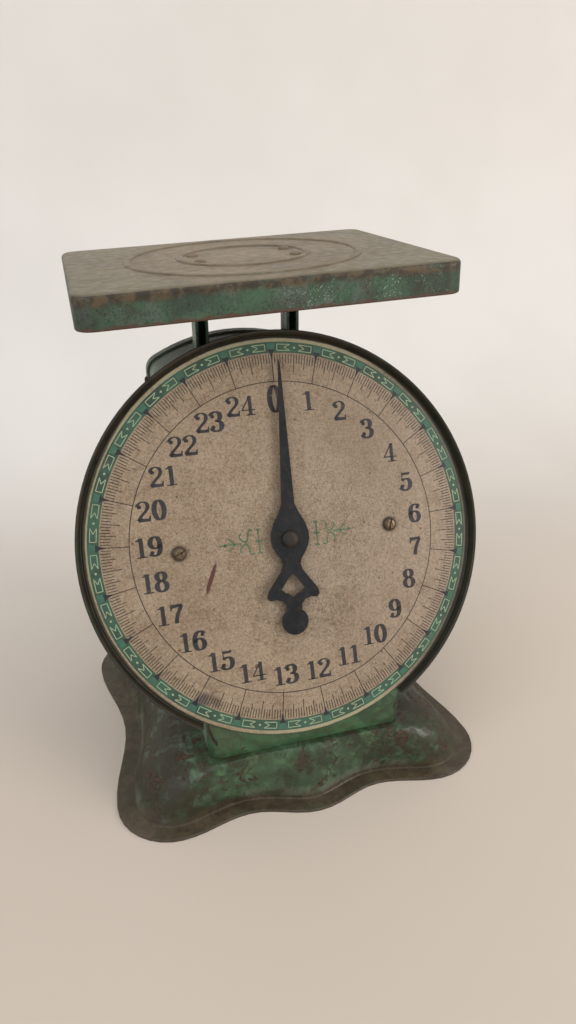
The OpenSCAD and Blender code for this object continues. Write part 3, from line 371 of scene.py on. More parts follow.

# %% [markdown]
# ## Lacquer on the dial
# The dial is sheet that was sprayed cream, printed and lacquered. The lacquer is matt by now (0.4 to 0.6
# in roughness, with a little less shine than enamel, 0.4 for 0.5). It has yellowed in clouds, streaked at
# the right, pitted round the middle, and darkened along its edge, where painted shade and grime lie in the
# gap to the pan, and a painted shadow of the rim lies at the right. A flat colour would look like
# plastic, and a picture of stains would have to be drawn by hand, so these are coats too, most of them
# placed by the dial's own axes.

# %% Yellowed and streaked lacquer
def yellowed(m, x):
    """Cream gone tan in clouds, and streaked down the right half."""
    color = coat(m, "#93806a", "#a18e77", clouds(m, 60, 4, 0.6, 0.3, 0.4).between(0.35, 0.65))
    color = coat(m, color, "#7f6a52", clouds(m, 14, 6, 0.75, 0.6, 1.3).between(0.45, 0.66), 0.6)
    color = coat(m, color, "#77644f", clouds(m, 2.2, 5, 0.75, 0.2, 2.1).between(0.5, 0.72), 0.45)
    right = x.between(-10 * MM, 80 * MM)
    color = coat(m, color, "#9b897b", right, 0.35)
    pale = clouds(m, 3.0, 5, 0.7, 0.1, 2.6, (1.0, 0.13, 0.13)).between(0.52, 0.75)
    color = coat(m, color, "#b7a99a", pale * right, 0.45)
    dark = clouds(m, 2.2, 5, 0.7, 0.1, 6.1, (1.0, 0.1, 0.1)).between(0.56, 0.75)
    return coat(m, color, "#6f5e4c", dark * right, 0.5)


# %% [markdown]
# A stain is an ellipse with a ragged margin. Its place and size are given in mm across and up the dial,
# as they would be noted with a ruler laid on the real one.

# %% A stain on the dial
def stain(m, x, y, centre, radii, turn=0.0, soft=0.5, uneven=0.25, ragged_mm=4.0):
    """1 inside an uneven ellipse, with its first radius turned anticlockwise by turn degrees."""
    c, s = math.cos(math.radians(turn)), math.sin(math.radians(turn))
    right = x - centre[0] * MM
    up = y - centre[1] * MM
    u = (right * c + up * s) / (radii[0] * MM)
    v = (up * c - right * s) / (radii[1] * MM)
    margin = ragged(m, 2 * uneven, ragged_mm, 5, 0.7, 0, centre[0] * 0.1)
    return ((u * u + v * v).root() + margin).between(1.0, 1.0 - soft)


# %% Grain, pits and dots
def pitted(m, x, y, color):
    """Fine grain all over, pits and chalky grains thickest round the middle, and a few dark dots."""
    grain = clouds(m, 1.2, 3, 0.85, 0, 4.6) * 0.85 + clouds(m, 4.5, 4, 0.7, 0.3, 1.2) * 0.15
    color = coat(m, color, "#5a493b", grain.between(0.5, 0.63), 0.5)
    color = coat(m, color, "#bfaf9c", grain.between(0.5, 0.37), 0.36)
    middle = (x * x + y * y).root().between(85 * MM, 20 * MM)
    pits = (clouds(m, 0.75, 3, 0.65, 0, 3.4) + middle * 0.05).between(0.62, 0.69)
    color = coat(m, color, "#4f4034", pits, 0.7)
    shade = stain(m, x, y, (44, 46), (44, 34), turn=-35, soft=0.9, uneven=0.4, ragged_mm=12)
    color = coat(m, color, "#75624f", shade, 0.35)
    chalk = (clouds(m, 0.7, 3, 0.65, 0, 7.9) + middle * 0.06).between(0.65, 0.72)
    color = coat(m, color, "#c2b5a4", chalk, 0.55)
    below = stain(m, x, y, (6, -38), (46, 30), turn=15, soft=0.8, uneven=0.5, ragged_mm=9)
    color = coat(m, color, "#5f4f43", below * clouds(m, 2.6, 5, 0.75, 0.4, 6.3).between(0.48, 0.62), 0.65)
    place = m.add("ShaderNodeMapping", {"Vector": m.place, "Location": (0.7, 0.7, 0.7)})
    cells = m.add("ShaderNodeTexVoronoi", {"Vector": place, "Scale": 1 / (5.5 * MM)}, "Distance")
    dots = cells.between(0.14, 0.07) * clouds(m, 21, 3, 0.6, 0, 4.4).between(0.5, 0.6)
    return coat(m, color, "#4d3b2b", dots, 0.8)


# %% Stains in their places
SCREW_OUT = 56.2  # mm from the centre to each dial screw
SPOTS = ((-24, -63, 1.6), (-62, -48, 1.2), (-56, -58, 0.9), (40, -52, 0.8), (-78, 8, 1.0))  # x, y, radius


def stained(m, x, y, color):
    """Paler wear below the middle, rust round the screws, a scratch, a smudge in two parts and spots."""
    wear = stain(m, x, y, (4, -26), (30, 24), turn=20, soft=0.9, uneven=0.5, ragged_mm=9)
    color = coat(m, color, "#b5a796", wear * clouds(m, 1.1, 4, 0.8, 0, 5.2).between(0.42, 0.6), 0.55)
    for side in (-1, 1):
        rusty = stain(m, x, y, (side * SCREW_OUT, 0), (6, 6), soft=0.6, uneven=0.35, ragged_mm=2.5)
        color = coat(m, color, "#4f4030", rusty, 0.75)
    scratch = stain(m, x, y, (-42, -15), (10, 1.4), turn=66, soft=0.4, uneven=0.5, ragged_mm=2.5)
    color = coat(m, color, "#54302a", scratch, 0.95)
    smudge = stain(m, x, y, (-54, -76), (8, 5.5), turn=50, soft=0.7, uneven=0.5, ragged_mm=2.5)
    color = coat(m, color, "#51454a", smudge, 0.75)
    smudge = stain(m, x, y, (-47, -77), (4, 5), turn=10, soft=0.8, uneven=0.7, ragged_mm=1.5)
    color = coat(m, color, "#4b4038", smudge, 0.6)
    for across, up, r in SPOTS:
        spot = stain(m, x, y, (across, up), (r, r), soft=0.5, uneven=0.3, ragged_mm=2)
        color = coat(m, color, "#6b4434", spot, 0.8)
    return color


# %% [markdown]
# Where the dial meets the pan, a dark band is painted in from the edge, further at the top and the bottom:
# painted shade in the gap between the two parts, with grime in it. Just inside it a thin line of the cream
# still shows, except at the right, where a painted shadow of the rim darkens it.

# %% The dial's edge
PRINT_EDGE = 99.8  # mm from the centre, where the printed ring ends


def edged(m, x, y, color):
    """A pale line outside the print, a painted shadow of the rim on it at the right, and beyond it a dark
    band of painted shade and grime in the gap.
    """
    r = (x * x + y * y).root()
    outside = r.between((PRINT_EDGE - 0.4) * MM, PRINT_EDGE * MM)
    # the pale line fades at the right, under the painted shadow of the rim
    left = x.between(70 * MM, 20 * MM, 0.1, 1.0)
    high = (x + y).between(-135 * MM, -100 * MM, 0.25, 1.0)
    broken = clouds(m, 15, 5, 0.7, 0, 2.2).between(0.36, 0.5, 0.35, 1.0)
    color = coat(m, color, "#a5a384", outside * left * high * broken, 0.65)
    # painted shadow: the rim at the right darkens the dial's edge there
    color = coat(m, color, "#3d3a2a", outside * x.between(40 * MM, 80 * MM), 0.6)
    # a dark band beyond the pale line, reaching further in at the top and the bottom: painted shade in the
    # gap where the dial meets the pan, with grime
    ends = abs(y).between(50 * MM, 88 * MM)
    reach = r + ragged(m, 1 * MM, 9, 5, 0.7, 0, 6.6) - ends * (0.9 * MM)
    return coat(m, color, "#27231a", reach.between(100.3 * MM, 101 * MM), 0.9)


# %% [markdown]
# ## Ink
# The print was laid on the cream and lacquered with it, so it has aged with it. Each ink is therefore the
# whole lacquer with a coat of ink on top, thinned where fine clouds say that it has worn through.
# Printing could be an image on the dial, but shapes of their own stay sharp at any distance.

# %% Lacquer with or without ink
WHOLE, WORN_OFF = 0.93, 0.7  # how thickly ink covers, and how much of that goes with wear


def dial_finish(name, ink=None, kept=0.0, second_ink=None):
    """Bare lacquer, or ink over it; the more is kept, the fewer places it has worn through."""
    m = Finish(name)
    x = along(m, (1, 0, 0), DIAL_CENTRE)
    y = along(m, UPWARD, DIAL_CENTRE)
    color = edged(m, x, y, stained(m, x, y, pitted(m, x, y, yellowed(m, x))))
    if ink:
        body = ink
        if second_ink:
            body = coat(m, ink, second_ink, clouds(m, 11, 4, 0.6, 0, 7.2).between(0.35, 0.65))
        worn = clouds(m, 0.7, 4, 0.75, 0, 8.8) * 0.55 + clouds(m, 6, 4, 0.7, 0, 9.9) * 0.45
        worn = worn.between(0.5 + kept, 0.62 + kept)
        color = coat(m, color, body, WHOLE - worn * WORN_OFF)
    dull = clouds(m, 8, 4, 0.6, 0, 1.9).between(0.3, 0.7, 0.42, 0.62, "LINEAR")
    height = clouds(m, 1.1, 4, 0.7, 0, 3.9) * 0.5 + clouds(m, 5, 3, 0.5, 0, 9.1) * 0.5
    return finished(m, color, dull, 0.0, height, 0.05, 0.6, shine=0.4)


LACQUER = dial_finish("aged_cream_lacquer")

# %% [markdown]
# ## Bare and plated metal
# Inside the housing are plated strip, turned steel, spring wire and brass. A metal has no colour under
# its shine: the shine itself is coloured, so metallic is 0.9 and the last tenth stands for the dull skin
# on it. Polished steel would be near 0.1 in roughness. These have stood for decades, so they are 0.3 to
# 0.6, and tarnish lies on them in spots. Turning and drawing leave fine lines one way, which are clouds
# stretched along them. The real lines are a tenth of a millimetre apart and are drawn at a half, to show.
# The IOR is left alone, as it is for every metal.

# %% Metals
def metal(name, color, second, rough, metallic=0.9, lines=(1, 1, 1), tarnish="#3a3228", tarnished=0.4):
    """Metal in two tones with spots of tarnish and fine lines along the working direction."""
    m = Finish(name)
    tone = coat(m, color, second, clouds(m, 6, 5, 0.65, 0.2).between(0.35, 0.7))
    spots = clouds(m, 3, 6, 0.75, 0.4, 2.2).between(0.5, 0.7)
    tone = coat(m, tone, tarnish, spots, tarnished)
    scored = clouds(m, 0.5, 3, 0.6, 0, 1.1, lines)
    dull = scored * 0.2 + (spots * 0.2 + (rough - 0.1))
    return finished(m, tone, dull, metallic, scored, 0.03, 0.4)


PLATED = metal("dull_plated_steel", "#77726a", "#59534b", 0.45)
TURNED = metal("turned_steel", "#a2a09c", "#7e7b76", 0.32, lines=(1, 8, 1), tarnished=0.2)
WIRE = metal("spring_steel_wire", "#7b7872", "#5a5751", 0.35, lines=(1, 1, 6))
BRASS = metal("dull_brass", "#8f7440", "#6d5630", 0.4, tarnished=0.5)

# %% [markdown]
# Screws, nuts and rivets of plain steel have rusted, and so has the boss of the pointer, which was
# blackened once. Rust isn't a metal, so the more there is of it, the lower metallic goes. The same
# function makes them, with darker and browner tones.

# %% Rusted metals
RUSTED = metal("rusted_screw_steel", "#4c4034", "#352a21", 0.6, 0.5, tarnish="#2a1d14", tarnished=0.6)
BOSS_STEEL = metal("dark_boss_steel", "#2c231b", "#1f1a15", 0.6, 0.0, tarnish="#15110d", tarnished=0.6)
RIVET_STEEL = metal("worn_tray_rivets", "#7b6c57", "#695b49", 0.55, 0.1, tarnish="#5a4a39", tarnished=0.5)

# %% [markdown]
# The two dial screws are brass. A screwdriver and a rag have kept the crown of each head bright, and dirt
# has stayed round it. The head is round, so the distance from its middle says which is which, and the
# dirt takes metallic down from 0.8 to 0.2.

# %% The dial screws' brass
HEAD = 3.7  # mm from the outer edge of a head to its middle


def screw_finish(name):
    """A worn bright crown in a dark, dirty edge."""
    m = Finish(name)
    left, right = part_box("dial_screws")
    reach = (right[0] - left[0]) / 2
    across = abs(along(m, (1, 0, 0), DIAL_CENTRE)) - (reach - HEAD * MM)
    up = along(m, UPWARD, DIAL_CENTRE)
    r = (across * across + up * up).root() + ragged(m, 1 * MM, 1.4, 4, 0.7, 0, 3.3)
    crown = coat(m, "#8d7c66", "#5b4936", clouds(m, 1.2, 4, 0.7, 0, 1.3).between(0.4, 0.62))
    color = coat(m, crown, "#4a3b2d", r.between(1.9 * MM, 2.6 * MM))
    metallic = r.between(2.6 * MM, 1.8 * MM, 0.2, 0.8)
    return finished(m, color, 0.4, metallic, clouds(m, 0.8, 3, 0.6), 0.05, 0.6)


SCREW_BRASS = screw_finish("tarnished_screw_brass")

# %% [markdown]
# The pointer is a blade stamped from steel and blued: a thin dark oxide that takes the metal's shine
# away, so metallic is only 0.1 and roughness 0.4 to 0.6. Its edges have rubbed brown, found from the
# shape as on the enamel.

# %% The pointer's blued steel
def pointer_finish(name):
    """Blue-black oxide, brown in spots and along the edges."""
    m = Finish(name)
    color = coat(m, "#0e1115", "#1b1f25", clouds(m, 9, 5, 0.65, 0.3).between(0.35, 0.65))
    color = coat(m, color, "#342c25", clouds(m, 3, 5, 0.7, 0, 1.4).between(0.5, 0.66), 0.6)
    rubbed = (edges(m, 0.6) * 0.3 + clouds(m, 3, 5, 0.7, 0, 2.8)).between(0.6, 0.74)
    color = coat(m, color, "#54453a", rubbed, 0.6)
    dull = clouds(m, 4, 4, 0.6, 0, 3.6).between(0.3, 0.7, 0.4, 0.6, "LINEAR")
    return finished(m, color, dull, 0.1, clouds(m, 1.2, 4, 0.6, 0, 4.7), 0.05, 0.6, shine=0.35)


BLUED = pointer_finish("blued_steel")

# %% [markdown]
# ## The platform
# Pans and parcels have rubbed the platform's enamel through to tarnished steel on top, and the green is
# left on its apron. The top is told from the apron by the way it faces, along the axis that the record
# states for the platform's face. The bare steel is under a brown skin, so metallic is 0.3 there and none
# on the apron.

# %% The platform's top
tray_face = next(k for k in frame["record"]["mounts"] if k["name"] == "platform_top")
TRAY_UP, TRAY_PLACE = Vector(tray_face["axis"]), Vector(tray_face["pos_m"])
RIVET_R = 3 * MM


def from_spot(m, x, y):
    """Metres from a spot on the platform."""
    inputs = {0: m.place, 1: (x, y, TRAY_PLACE.z)}
    return m.add("ShaderNodeVectorMath", inputs, "Value", operation="DISTANCE")


def tray_top(m):
    """Tan tarnish with darker grain, grey-green remains towards the edges, and stains at the rivets."""
    color = coat(m, "#756854", "#8a7b65", clouds(m, 34, 4, 0.6, 0.6, 0.6).between(0.35, 0.65))
    color = coat(m, color, "#67594a", clouds(m, 9, 5, 0.6, 0.6, 0.6, (0.3, 1, 1)).between(0.5, 0.68), 0.5)
    color = coat(m, color, "#6b6c5c", clouds(m, 22, 4, 0.6, 0.5, 7.4).between(0.52, 0.68), 0.4)
    color = coat(m, color, "#866c4c", clouds(m, 17, 4, 0.6, 0.5, 4.9).between(0.55, 0.7), 0.4)
    color = coat(m, color, "#9b8c75", clouds(m, 1.4, 4, 0.7, 0, 2.7).between(0.55, 0.75), 0.25)
    away = from_spot(m, 0, TRAY_PLACE.y) + ragged(m, 50 * MM, 30, 5, 0.6, 0.4, 3.1)
    color = coat(m, color, "#6f705c", away.between(55 * MM, 95 * MM), 0.5)
    low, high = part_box("platform_rivets")
    for x in (low[0] + RIVET_R, high[0] - RIVET_R):
        for y in (low[1] + RIVET_R, high[1] - RIVET_R):
            near = from_spot(m, x, y) + ragged(m, 9 * MM, 7, 5, 0.7, 0.3, x * 90)
            color = coat(m, color, "#54452f", near.between(9 * MM, 3 * MM), 0.42)
    return color


# %% The platform's apron
def tray_apron(m):
    """Mottled green with a grey bloom, dark and pale specks, and brown along both edges."""
    color = coat(m, "#35473a", "#42634b", clouds(m, 26, 4, 0.6, 0.5, 4.3).between(0.36, 0.64))
    color = coat(m, color, "#5b665f", clouds(m, 19, 5, 0.65, 0.5, 9.1).between(0.5, 0.62), 0.65)
    color = coat(m, color, "#3d3c2f", clouds(m, 11, 5, 0.65, 0.5, 5.5).between(0.5, 0.62), 0.55)
    color = coat(m, color, "#232a22", clouds(m, 1.1, 4, 0.7, 0, 6.5).between(0.5, 0.66), 0.75)
    across = along(m, (1, 0, 0))
    ends = abs(across).between(30 * MM, 90 * MM)
    color = coat(m, color, coat(m, color, "#8f8f82", 1.0, blend="MULTIPLY"), ends, 0.5)
    # pale specks, most of them right of the middle
    here = across.between(-30 * MM, 30 * MM) * across.between(80 * MM, 50 * MM, 0.3, 1.0)
    specks = clouds(m, 0.8, 3, 0.65, 0, 1.9).between(0.58, 0.66)
    specks = specks * clouds(m, 15, 4, 0.6, 0.3, 6.9).between(0.45, 0.58)
    color = coat(m, color, "#9fb3a8", specks * (here * 0.85 + 0.15), 0.85)
    # heights below the platform's face, for the rusted hem and the brown lip
    height = along(m, TRAY_UP, TRAY_PLACE) + ragged(m, 8 * MM, 7, 6, 0.72, 0, 7.4)
    color = coat(m, color, "#54352a", height.between(-13.8 * MM, -15.2 * MM), 0.85)
    lip = (height + ends * (1 * MM)).between(-6 * MM, -2.6 * MM)
    brown = coat(m, "#352a20", "#5b4b36", clouds(m, 6, 5, 0.7, 0.3, 3.8).between(0.42, 0.6))
    return coat(m, color, brown, lip * clouds(m, 13, 5, 0.65, 0.4, 2.9).between(0.33, 0.47), 0.92)


# %% The platform's finish
def tray_finish(name):
    """Bare steel where the platform faces up, enamel on its apron."""
    m = Finish(name)
    top = (facing(m, TRAY_UP) + ragged(m, 0.3, 5, 4, 0.6, 0, 0.2)).between(0.6, 0.9)
    color = coat(m, tray_apron(m), tray_top(m), top)
    dull = clouds(m, 5, 5, 0.6, 0, 9.3).between(0.3, 0.7, 0.34, 0.6, "LINEAR")
    height = clouds(m, 3, 5, 0.6, 0, 9.7) * 0.6 + clouds(m, 0.8, 3, 0.6, 0, 2.0) * 0.3
    return finished(m, color, dull, top * 0.3, height, 0.12, 0.6)


TRAY = tray_finish("worn_tray_enamel")

# %% [markdown]
# ## Which piece has which finish
# Each piece of the frame gets one material. What isn't named here is plated strip from inside the
# housing.

# %% The finishes on their pieces
paint = {
    BODY_ENAMEL: ("housing", "back_cover", "hanger_bracket"),
    BASE_ENAMEL: ("base",),
    PAN_ENAMEL: ("front_pan",),
    POST_ENAMEL: ("left_post", "right_post"),
    LACQUER: ("dial_plate",),
    TRAY: ("platform",),
    BLUED: ("pointer",),
    BOSS_STEEL: ("pointer_boss",),
    RUSTED: ("cover_screws", "base_screws", "base_nuts", "pan_rivets", "frame_rivets"),
    BRASS: ("front_bearing", "rear_bearing", "pinion", "pointer_collar", "zero_knob"),
    SCREW_BRASS: ("dial_screws",),
    RIVET_STEEL: ("platform_rivets",),
    WIRE: ("left_spring", "right_spring"),
    TURNED: ("arbor", "rack", "rack_pin", "link_pin", "link_rod", "zero_screw"),
}
finish_of = {name: material for material, names in paint.items() for name in names}
for name, obj in frame["nodes"].items():
    obj.data.materials.clear()
    obj.data.materials.append(finish_of.get(name, PLATED))
print(len(finish_of), "pieces named, the other", len(frame["nodes"]) - len(finish_of), "in", PLATED.name)

# %% [markdown]
# ## Printed shapes
# Each colour of the print is one flat mesh, a twentieth of a millimetre off the plate so that the two
# don't flicker through each other. A mesh is a list of corners and a list of faces. Here a shape is
# simply a list of places, one polygon each, and one function makes the mesh, gives it its ink and fixes
# it to the dial.

# %% From polygons to a printed piece
LIFT = 0.05  # mm from the plate to the first ink; the inks printed over it lie a little higher


def printed(name, polygons, ink, body="stand"):
    """A piece made of flat polygons, each a list of places in the scene."""
    corners, faces = [], []
    for polygon in polygons:
        faces.append(tuple(range(len(corners), len(corners) + len(polygon))))
        corners += [tuple(place) for place in polygon]
    mesh = bpy.data.meshes.new(name)
    mesh.from_pydata(corners, [], faces)
    mesh.update()
    mesh.materials.append(ink)
    obj = bpy.data.objects.new(name, mesh)
    bpy.context.scene.collection.objects.link(obj)
    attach(obj, body)
    print(name, "of", len(faces), "polygons")
    return obj


# %% Rings, and shapes at a radius
def ring(inner, outer, lift, steps=250):
    """A flat ring in four-sided steps."""
    out = []
    for i in range(steps):
        a, b = 360 * i / steps, 360 * (i + 1) / steps
        out.append([on_print(inner, b, lift), on_print(outer, b, lift), on_print(outer, a, lift),
                    on_print(inner, a, lift)])
    return out


def placed(points, degrees, r, lift, turned=True):
    """Points in mm about a spot at radius r, turned to face outwards or left upright."""
    a = math.radians(degrees + PRINT_TURN)
    c, s = (math.cos(a), math.sin(a)) if turned else (1, 0)
    across, up = r * math.sin(a), r * math.cos(a)
    return [on_dial(across + x * c + y * s, up + y * c - x * s, lift) for x, y in points]


def tick(degrees, inner, outer, width, lift):
    """A radial line of width mm."""
    half = width / 2
    return placed([(-half, inner), (half, inner), (half, outer), (-half, outer)], degrees, 0, lift)


# %% [markdown]
# ## Divisions
# The scale weighs to 25 pounds in one turn, and a pound is 16 ounces, so there are 400 marks. A loop
# draws them: long at a pound, shorter at 8 ounces, shorter again at 4, and short at the rest. They stand
# between a thin circle and a green ring.

# %% The green ring and the ounce marks
POUNDS = 25
OUNCES = 16
POUND_TURN = 360 / POUNDS
RING_IN, RING_OUT = 94.3, PRINT_EDGE  # mm
CIRCLE = 80.0  # mm, the radius of the thin circle
MARKS_OUT = RING_IN - 0.6  # mm
HALF_POUND, QUARTER_POUND, OUNCE = 9.3, 7.4, 4.8  # mm, the lengths of the marks

green_print = dial_finish("green_print", "#234639", 0.09, "#345c4c")
printed("dial_green_ring", ring(RING_IN, RING_OUT, LIFT), green_print)

ticks = ring(CIRCLE - 0.22, CIRCLE + 0.22, LIFT)
for k in range(POUNDS * OUNCES):
    turn = k * POUND_TURN / OUNCES
    ounce = k % OUNCES
    if ounce == 0:
        ticks.append(tick(turn, CIRCLE, RING_IN, 0.42, LIFT))
    else:
        length = HALF_POUND if ounce == 8 else QUARTER_POUND if ounce % 4 == 0 else OUNCE
        ticks.append(tick(turn, MARKS_OUT - length, MARKS_OUT, 0.38, LIFT))
printed("dial_ounce_marks", ticks, dial_finish("dark_line_print", "#241f1e", 0.08))

# %% A wedge and a fan at each pound
FAN = [(-1.5, 0.9), (1.5, 0.9), (2.4, 4.4), (-2.4, 4.4)]
WEDGE = [(-1.75, 1.6), (-0.65, -0.8), (-0.2, -3.6), (0.2, -3.6), (0.65, -0.8), (1.75, 1.6)]
wedges = [placed(WEDGE, k * POUND_TURN, RING_IN + 0.2, LIFT * 1.6) for k in range(POUNDS)]
fans = [placed(FAN, k * POUND_TURN, RING_IN + 0.4, LIFT * 1.4) for k in range(POUNDS)]
printed("dial_pound_marks", wedges, dial_finish("navy_mark_print", "#131c28", 0.12))
printed("dial_ring_fans", fans, dial_finish("light_green_print", "#346a59", 0.06, "#305f4f"))

# %% [markdown]
# ## The ring's pattern
# Between each two pounds the ring has a pale bracket drawn with a pen: two notched boxes and a diamond.
# It is a common stencil ornament. It is drawn flat once and bent round the ring 25 times, by turning each
# distance along it into an angle.

# %% A pen line, and the bracket
def pen_line(p, q, width):
    """The four corners of a straight line from p to q."""
    d = Vector((q[0] - p[0], q[1] - p[1])).normalized() * width / 2
    one_side = [(p[0] + d.y, p[1] - d.x), (q[0] + d.y, q[1] - d.x)]
    return one_side + [(q[0] - d.y, q[1] + d.x), (p[0] - d.y, p[1] + d.x)]


END, HEIGHT, START, NOTCH, PEN = 9.0, 1.55, 2.3, 5.2, 0.4  # mm
bracket = [[(-0.75, 0), (0, -0.65), (0.75, 0), (0, 0.65)]]
for side in (-1, 1):
    path = [(START, HEIGHT), (END, HEIGHT), (END, -HEIGHT), (START, -HEIGHT), (NOTCH, 0.0), (START, HEIGHT)]
    path = [(side * x, y) for x, y in path]
    bracket += [pen_line(p, q, PEN) for p, q in zip(path, path[1:])]
print("a bracket has", len(bracket), "strokes")

# %% The bracket bent round the ring
BEND_R = 96.5  # mm
ring_middle = (RING_IN + RING_OUT) / 2
pattern = []
for k in range(POUNDS):
    for stroke in bracket:
        spots = [((k + 0.5) * POUND_TURN + math.degrees(x / BEND_R), ring_middle + y) for x, y in stroke]
        pattern.append([on_print(r, turn, LIFT * 1.6) for turn, r in spots])
printed("dial_ring_pattern", pattern, dial_finish("cream_ring_print", "#a3b593", 0.0, "#8fae8c"))

# %% [markdown]
# ## Numerals
# The numerals are in a plain bold face with slab feet and round ends, of the kind that sign painters
# used. A typeface could be bought in, but ten numerals can be drawn with a broad pen: it makes a thick
# line where the stroke runs upright and a thin one where it runs level. Each numeral stands in a box one
# unit high.

# %% The pen and its shapes
THIN, BOLD = 0.042, 0.103  # half widths, as parts of the numeral's height


def pen_stroke(points, thin=THIN, bold=BOLD):
    """Four-sided steps along a path, broad on upright runs and fine on level ones."""
    sides = []
    for i, (x, y) in enumerate(points):
        before, after = points[max(i - 1, 0)], points[min(i + 1, len(points) - 1)]
        dx, dy = after[0] - before[0], after[1] - before[1]
        length = math.hypot(dx, dy) or 1.0
        dx, dy = dx / length, dy / length
        half = thin + (bold - thin) * abs(dy) ** 1.6
        sides.append(((x - dy * half, y + dx * half), (x + dy * half, y - dx * half)))
    return [[a[0], a[1], b[1], b[0]] for a, b in zip(sides, sides[1:])]


def arc(x, y, rx, ry, start, end, steps=16):
    turns = [math.radians(start + (end - start) * i / steps) for i in range(steps + 1)]
    return [(x + rx * math.cos(a), y + ry * math.sin(a)) for a in turns]


def curve(*points, steps=12):
    """A smooth path: every third point is passed through, and the two between pull it."""
    out = [points[0]]
    for k in range(0, len(points) - 1, 3):
        for i in range(1, steps + 1):
            t = i / steps
            u = 1 - t
            pulls = zip((u**3, 3 * u * u * t, 3 * u * t * t, t**3), points[k : k + 4])
            out.append(tuple(map(sum, zip(*[(w * x, w * y) for w, (x, y) in pulls]))))
    return out


def ball(x, y, r):
    return [[(x + r * math.cos(t * math.pi / 6), y + r * math.sin(t * math.pi / 6)) for t in range(12)]]


def slab(left, low, right, high):
    return [[(left, low), (right, low), (right, high), (left, high)]]


print("a ring of the pen has", len(pen_stroke(arc(0, 0, 1, 1, 0, 360))), "steps")

# %% The numerals, 0 to 4
GLYPHS = {"0": pen_stroke(arc(0.31, 0.5, 0.2, 0.47, 90, 450, 32))}
GLYPHS["1"] = (
    slab(0.2, 0, 0.37, 0.98)
    + slab(0.07, 0, 0.5, 0.055)
    + [[(0.2, 0.98), (0.2, 0.83), (0.07, 0.83), (0.07, 0.875), (0.15, 0.9)]]
)
neck = curve((0.07, 0.76), (0.08, 1.04), (0.5, 1.08), (0.49, 0.74),
             (0.48, 0.5), (0.16, 0.36), (0.08, 0.06))
foot = [(0.05, 0.0), (0.56, 0.0), (0.58, 0.28), (0.53, 0.28), (0.5, 0.16), (0.32, 0.15), (0.2, 0.19)]
foot.append((0.09, 0.13))
GLYPHS["2"] = ball(0.15, 0.74, 0.095) + pen_stroke(neck, 0.03, 0.08) + [foot]
upper = curve((0.06, 0.8), (0.1, 1.04), (0.46, 1.05), (0.45, 0.76),
              (0.44, 0.58), (0.36, 0.53), (0.22, 0.53))
lower = curve((0.22, 0.53), (0.42, 0.53), (0.5, 0.44), (0.49, 0.28),
              (0.47, -0.06), (0.1, -0.06), (0.06, 0.2))
GLYPHS["3"] = ball(0.13, 0.76, 0.09) + ball(0.13, 0.23, 0.095) + pen_stroke(upper) + pen_stroke(lower)
GLYPHS["4"] = (
    slab(0.33, 0, 0.48, 0.98)
    + slab(0.2, 0, 0.6, 0.055)
    + slab(0.03, 0.24, 0.62, 0.3)
    + pen_stroke([(0.4, 0.96), (0.05, 0.27)], 0.024, 0.028)
)
print("drawn:", " ".join(GLYPHS))

# %% The numerals, 5 to 9
flag = [(0.12, 0.98), (0.12, 0.52), (0.165, 0.52), (0.165, 0.82), (0.5, 0.84), (0.52, 0.98), (0.32, 0.95)]
belly = curve((0.14, 0.54), (0.3, 0.7), (0.52, 0.62), (0.51, 0.33),
              (0.5, -0.06), (0.12, -0.08), (0.06, 0.2))
GLYPHS["5"] = [flag] + ball(0.13, 0.24, 0.095) + pen_stroke(belly)
back = curve((0.53, 0.82), (0.46, 1.02), (0.1, 1.06), (0.12, 0.42),
             (0.13, 0.05), (0.24, 0.02), (0.32, 0.02))
bowl = arc(0.32, 0.3, 0.19, 0.28, -90, 90) + curve((0.32, 0.58), (0.2, 0.58), (0.14, 0.48), (0.13, 0.4))[1:]
GLYPHS["6"] = ball(0.46, 0.78, 0.085) + pen_stroke(back) + pen_stroke(bowl)
bar = [(0.06, 0.98), (0.06, 0.66), (0.1, 0.66), (0.14, 0.79), (0.36, 0.82), (0.55, 0.84), (0.56, 0.98)]
GLYPHS["7"] = [bar] + pen_stroke(curve((0.54, 0.9), (0.4, 0.6), (0.28, 0.4), (0.27, 0.02)), 0.03, 0.085)
loops = pen_stroke(arc(0.3, 0.76, 0.165, 0.21, 90, 450, 26))
GLYPHS["8"] = loops + pen_stroke(arc(0.3, 0.27, 0.2, 0.26, 90, 450, 26))
GLYPHS["9"] = [[(0.62 - x, 0.98 - y) for x, y in shape] for shape in GLYPHS["6"]]
print("drawn:", " ".join(GLYPHS))

# %% [markdown]
# The numerals stand upright all round, their middles on one circle. The zero is taller and narrower than
# the others, so that it shows on both sides of the pointer at rest.

# %% The numerals in their places
NUMERAL_R = 71.0  # mm from the centre to a numeral's middle
BACK_TURN = 0.7  # degrees; the numerals stand a little anticlockwise of their marks
RIGHT, UP = 0.3, 0.1  # mm that they stand right of and above the even ring
ADVANCE = {"1": 0.54, "4": 0.66}  # as parts of the height; all the others take USUAL
USUAL = 0.62

numerals = []
for k in range(POUNDS):
    tall, spread, stretch = (9.9, 1.0, 1.22) if k else (13.6, 0.92, 1.0)
    left = -sum(ADVANCE.get(digit, USUAL) for digit in str(k)) * spread / 2
    for digit in str(k):
        for shape in GLYPHS[digit]:
            points = [((left + x * spread) * stretch, y - 0.49) for x, y in shape]
            points = [(x * tall + RIGHT, y * tall + UP) for x, y in points]
            turn = k * POUND_TURN - BACK_TURN
            numerals.append(placed(points, turn, NUMERAL_R, LIFT * 1.3, turned=False))
        left += ADVANCE.get(digit, USUAL)
printed("dial_numerals", numerals, dial_finish("navy_numeral_print", "#161922", 0.07, "#252833"))
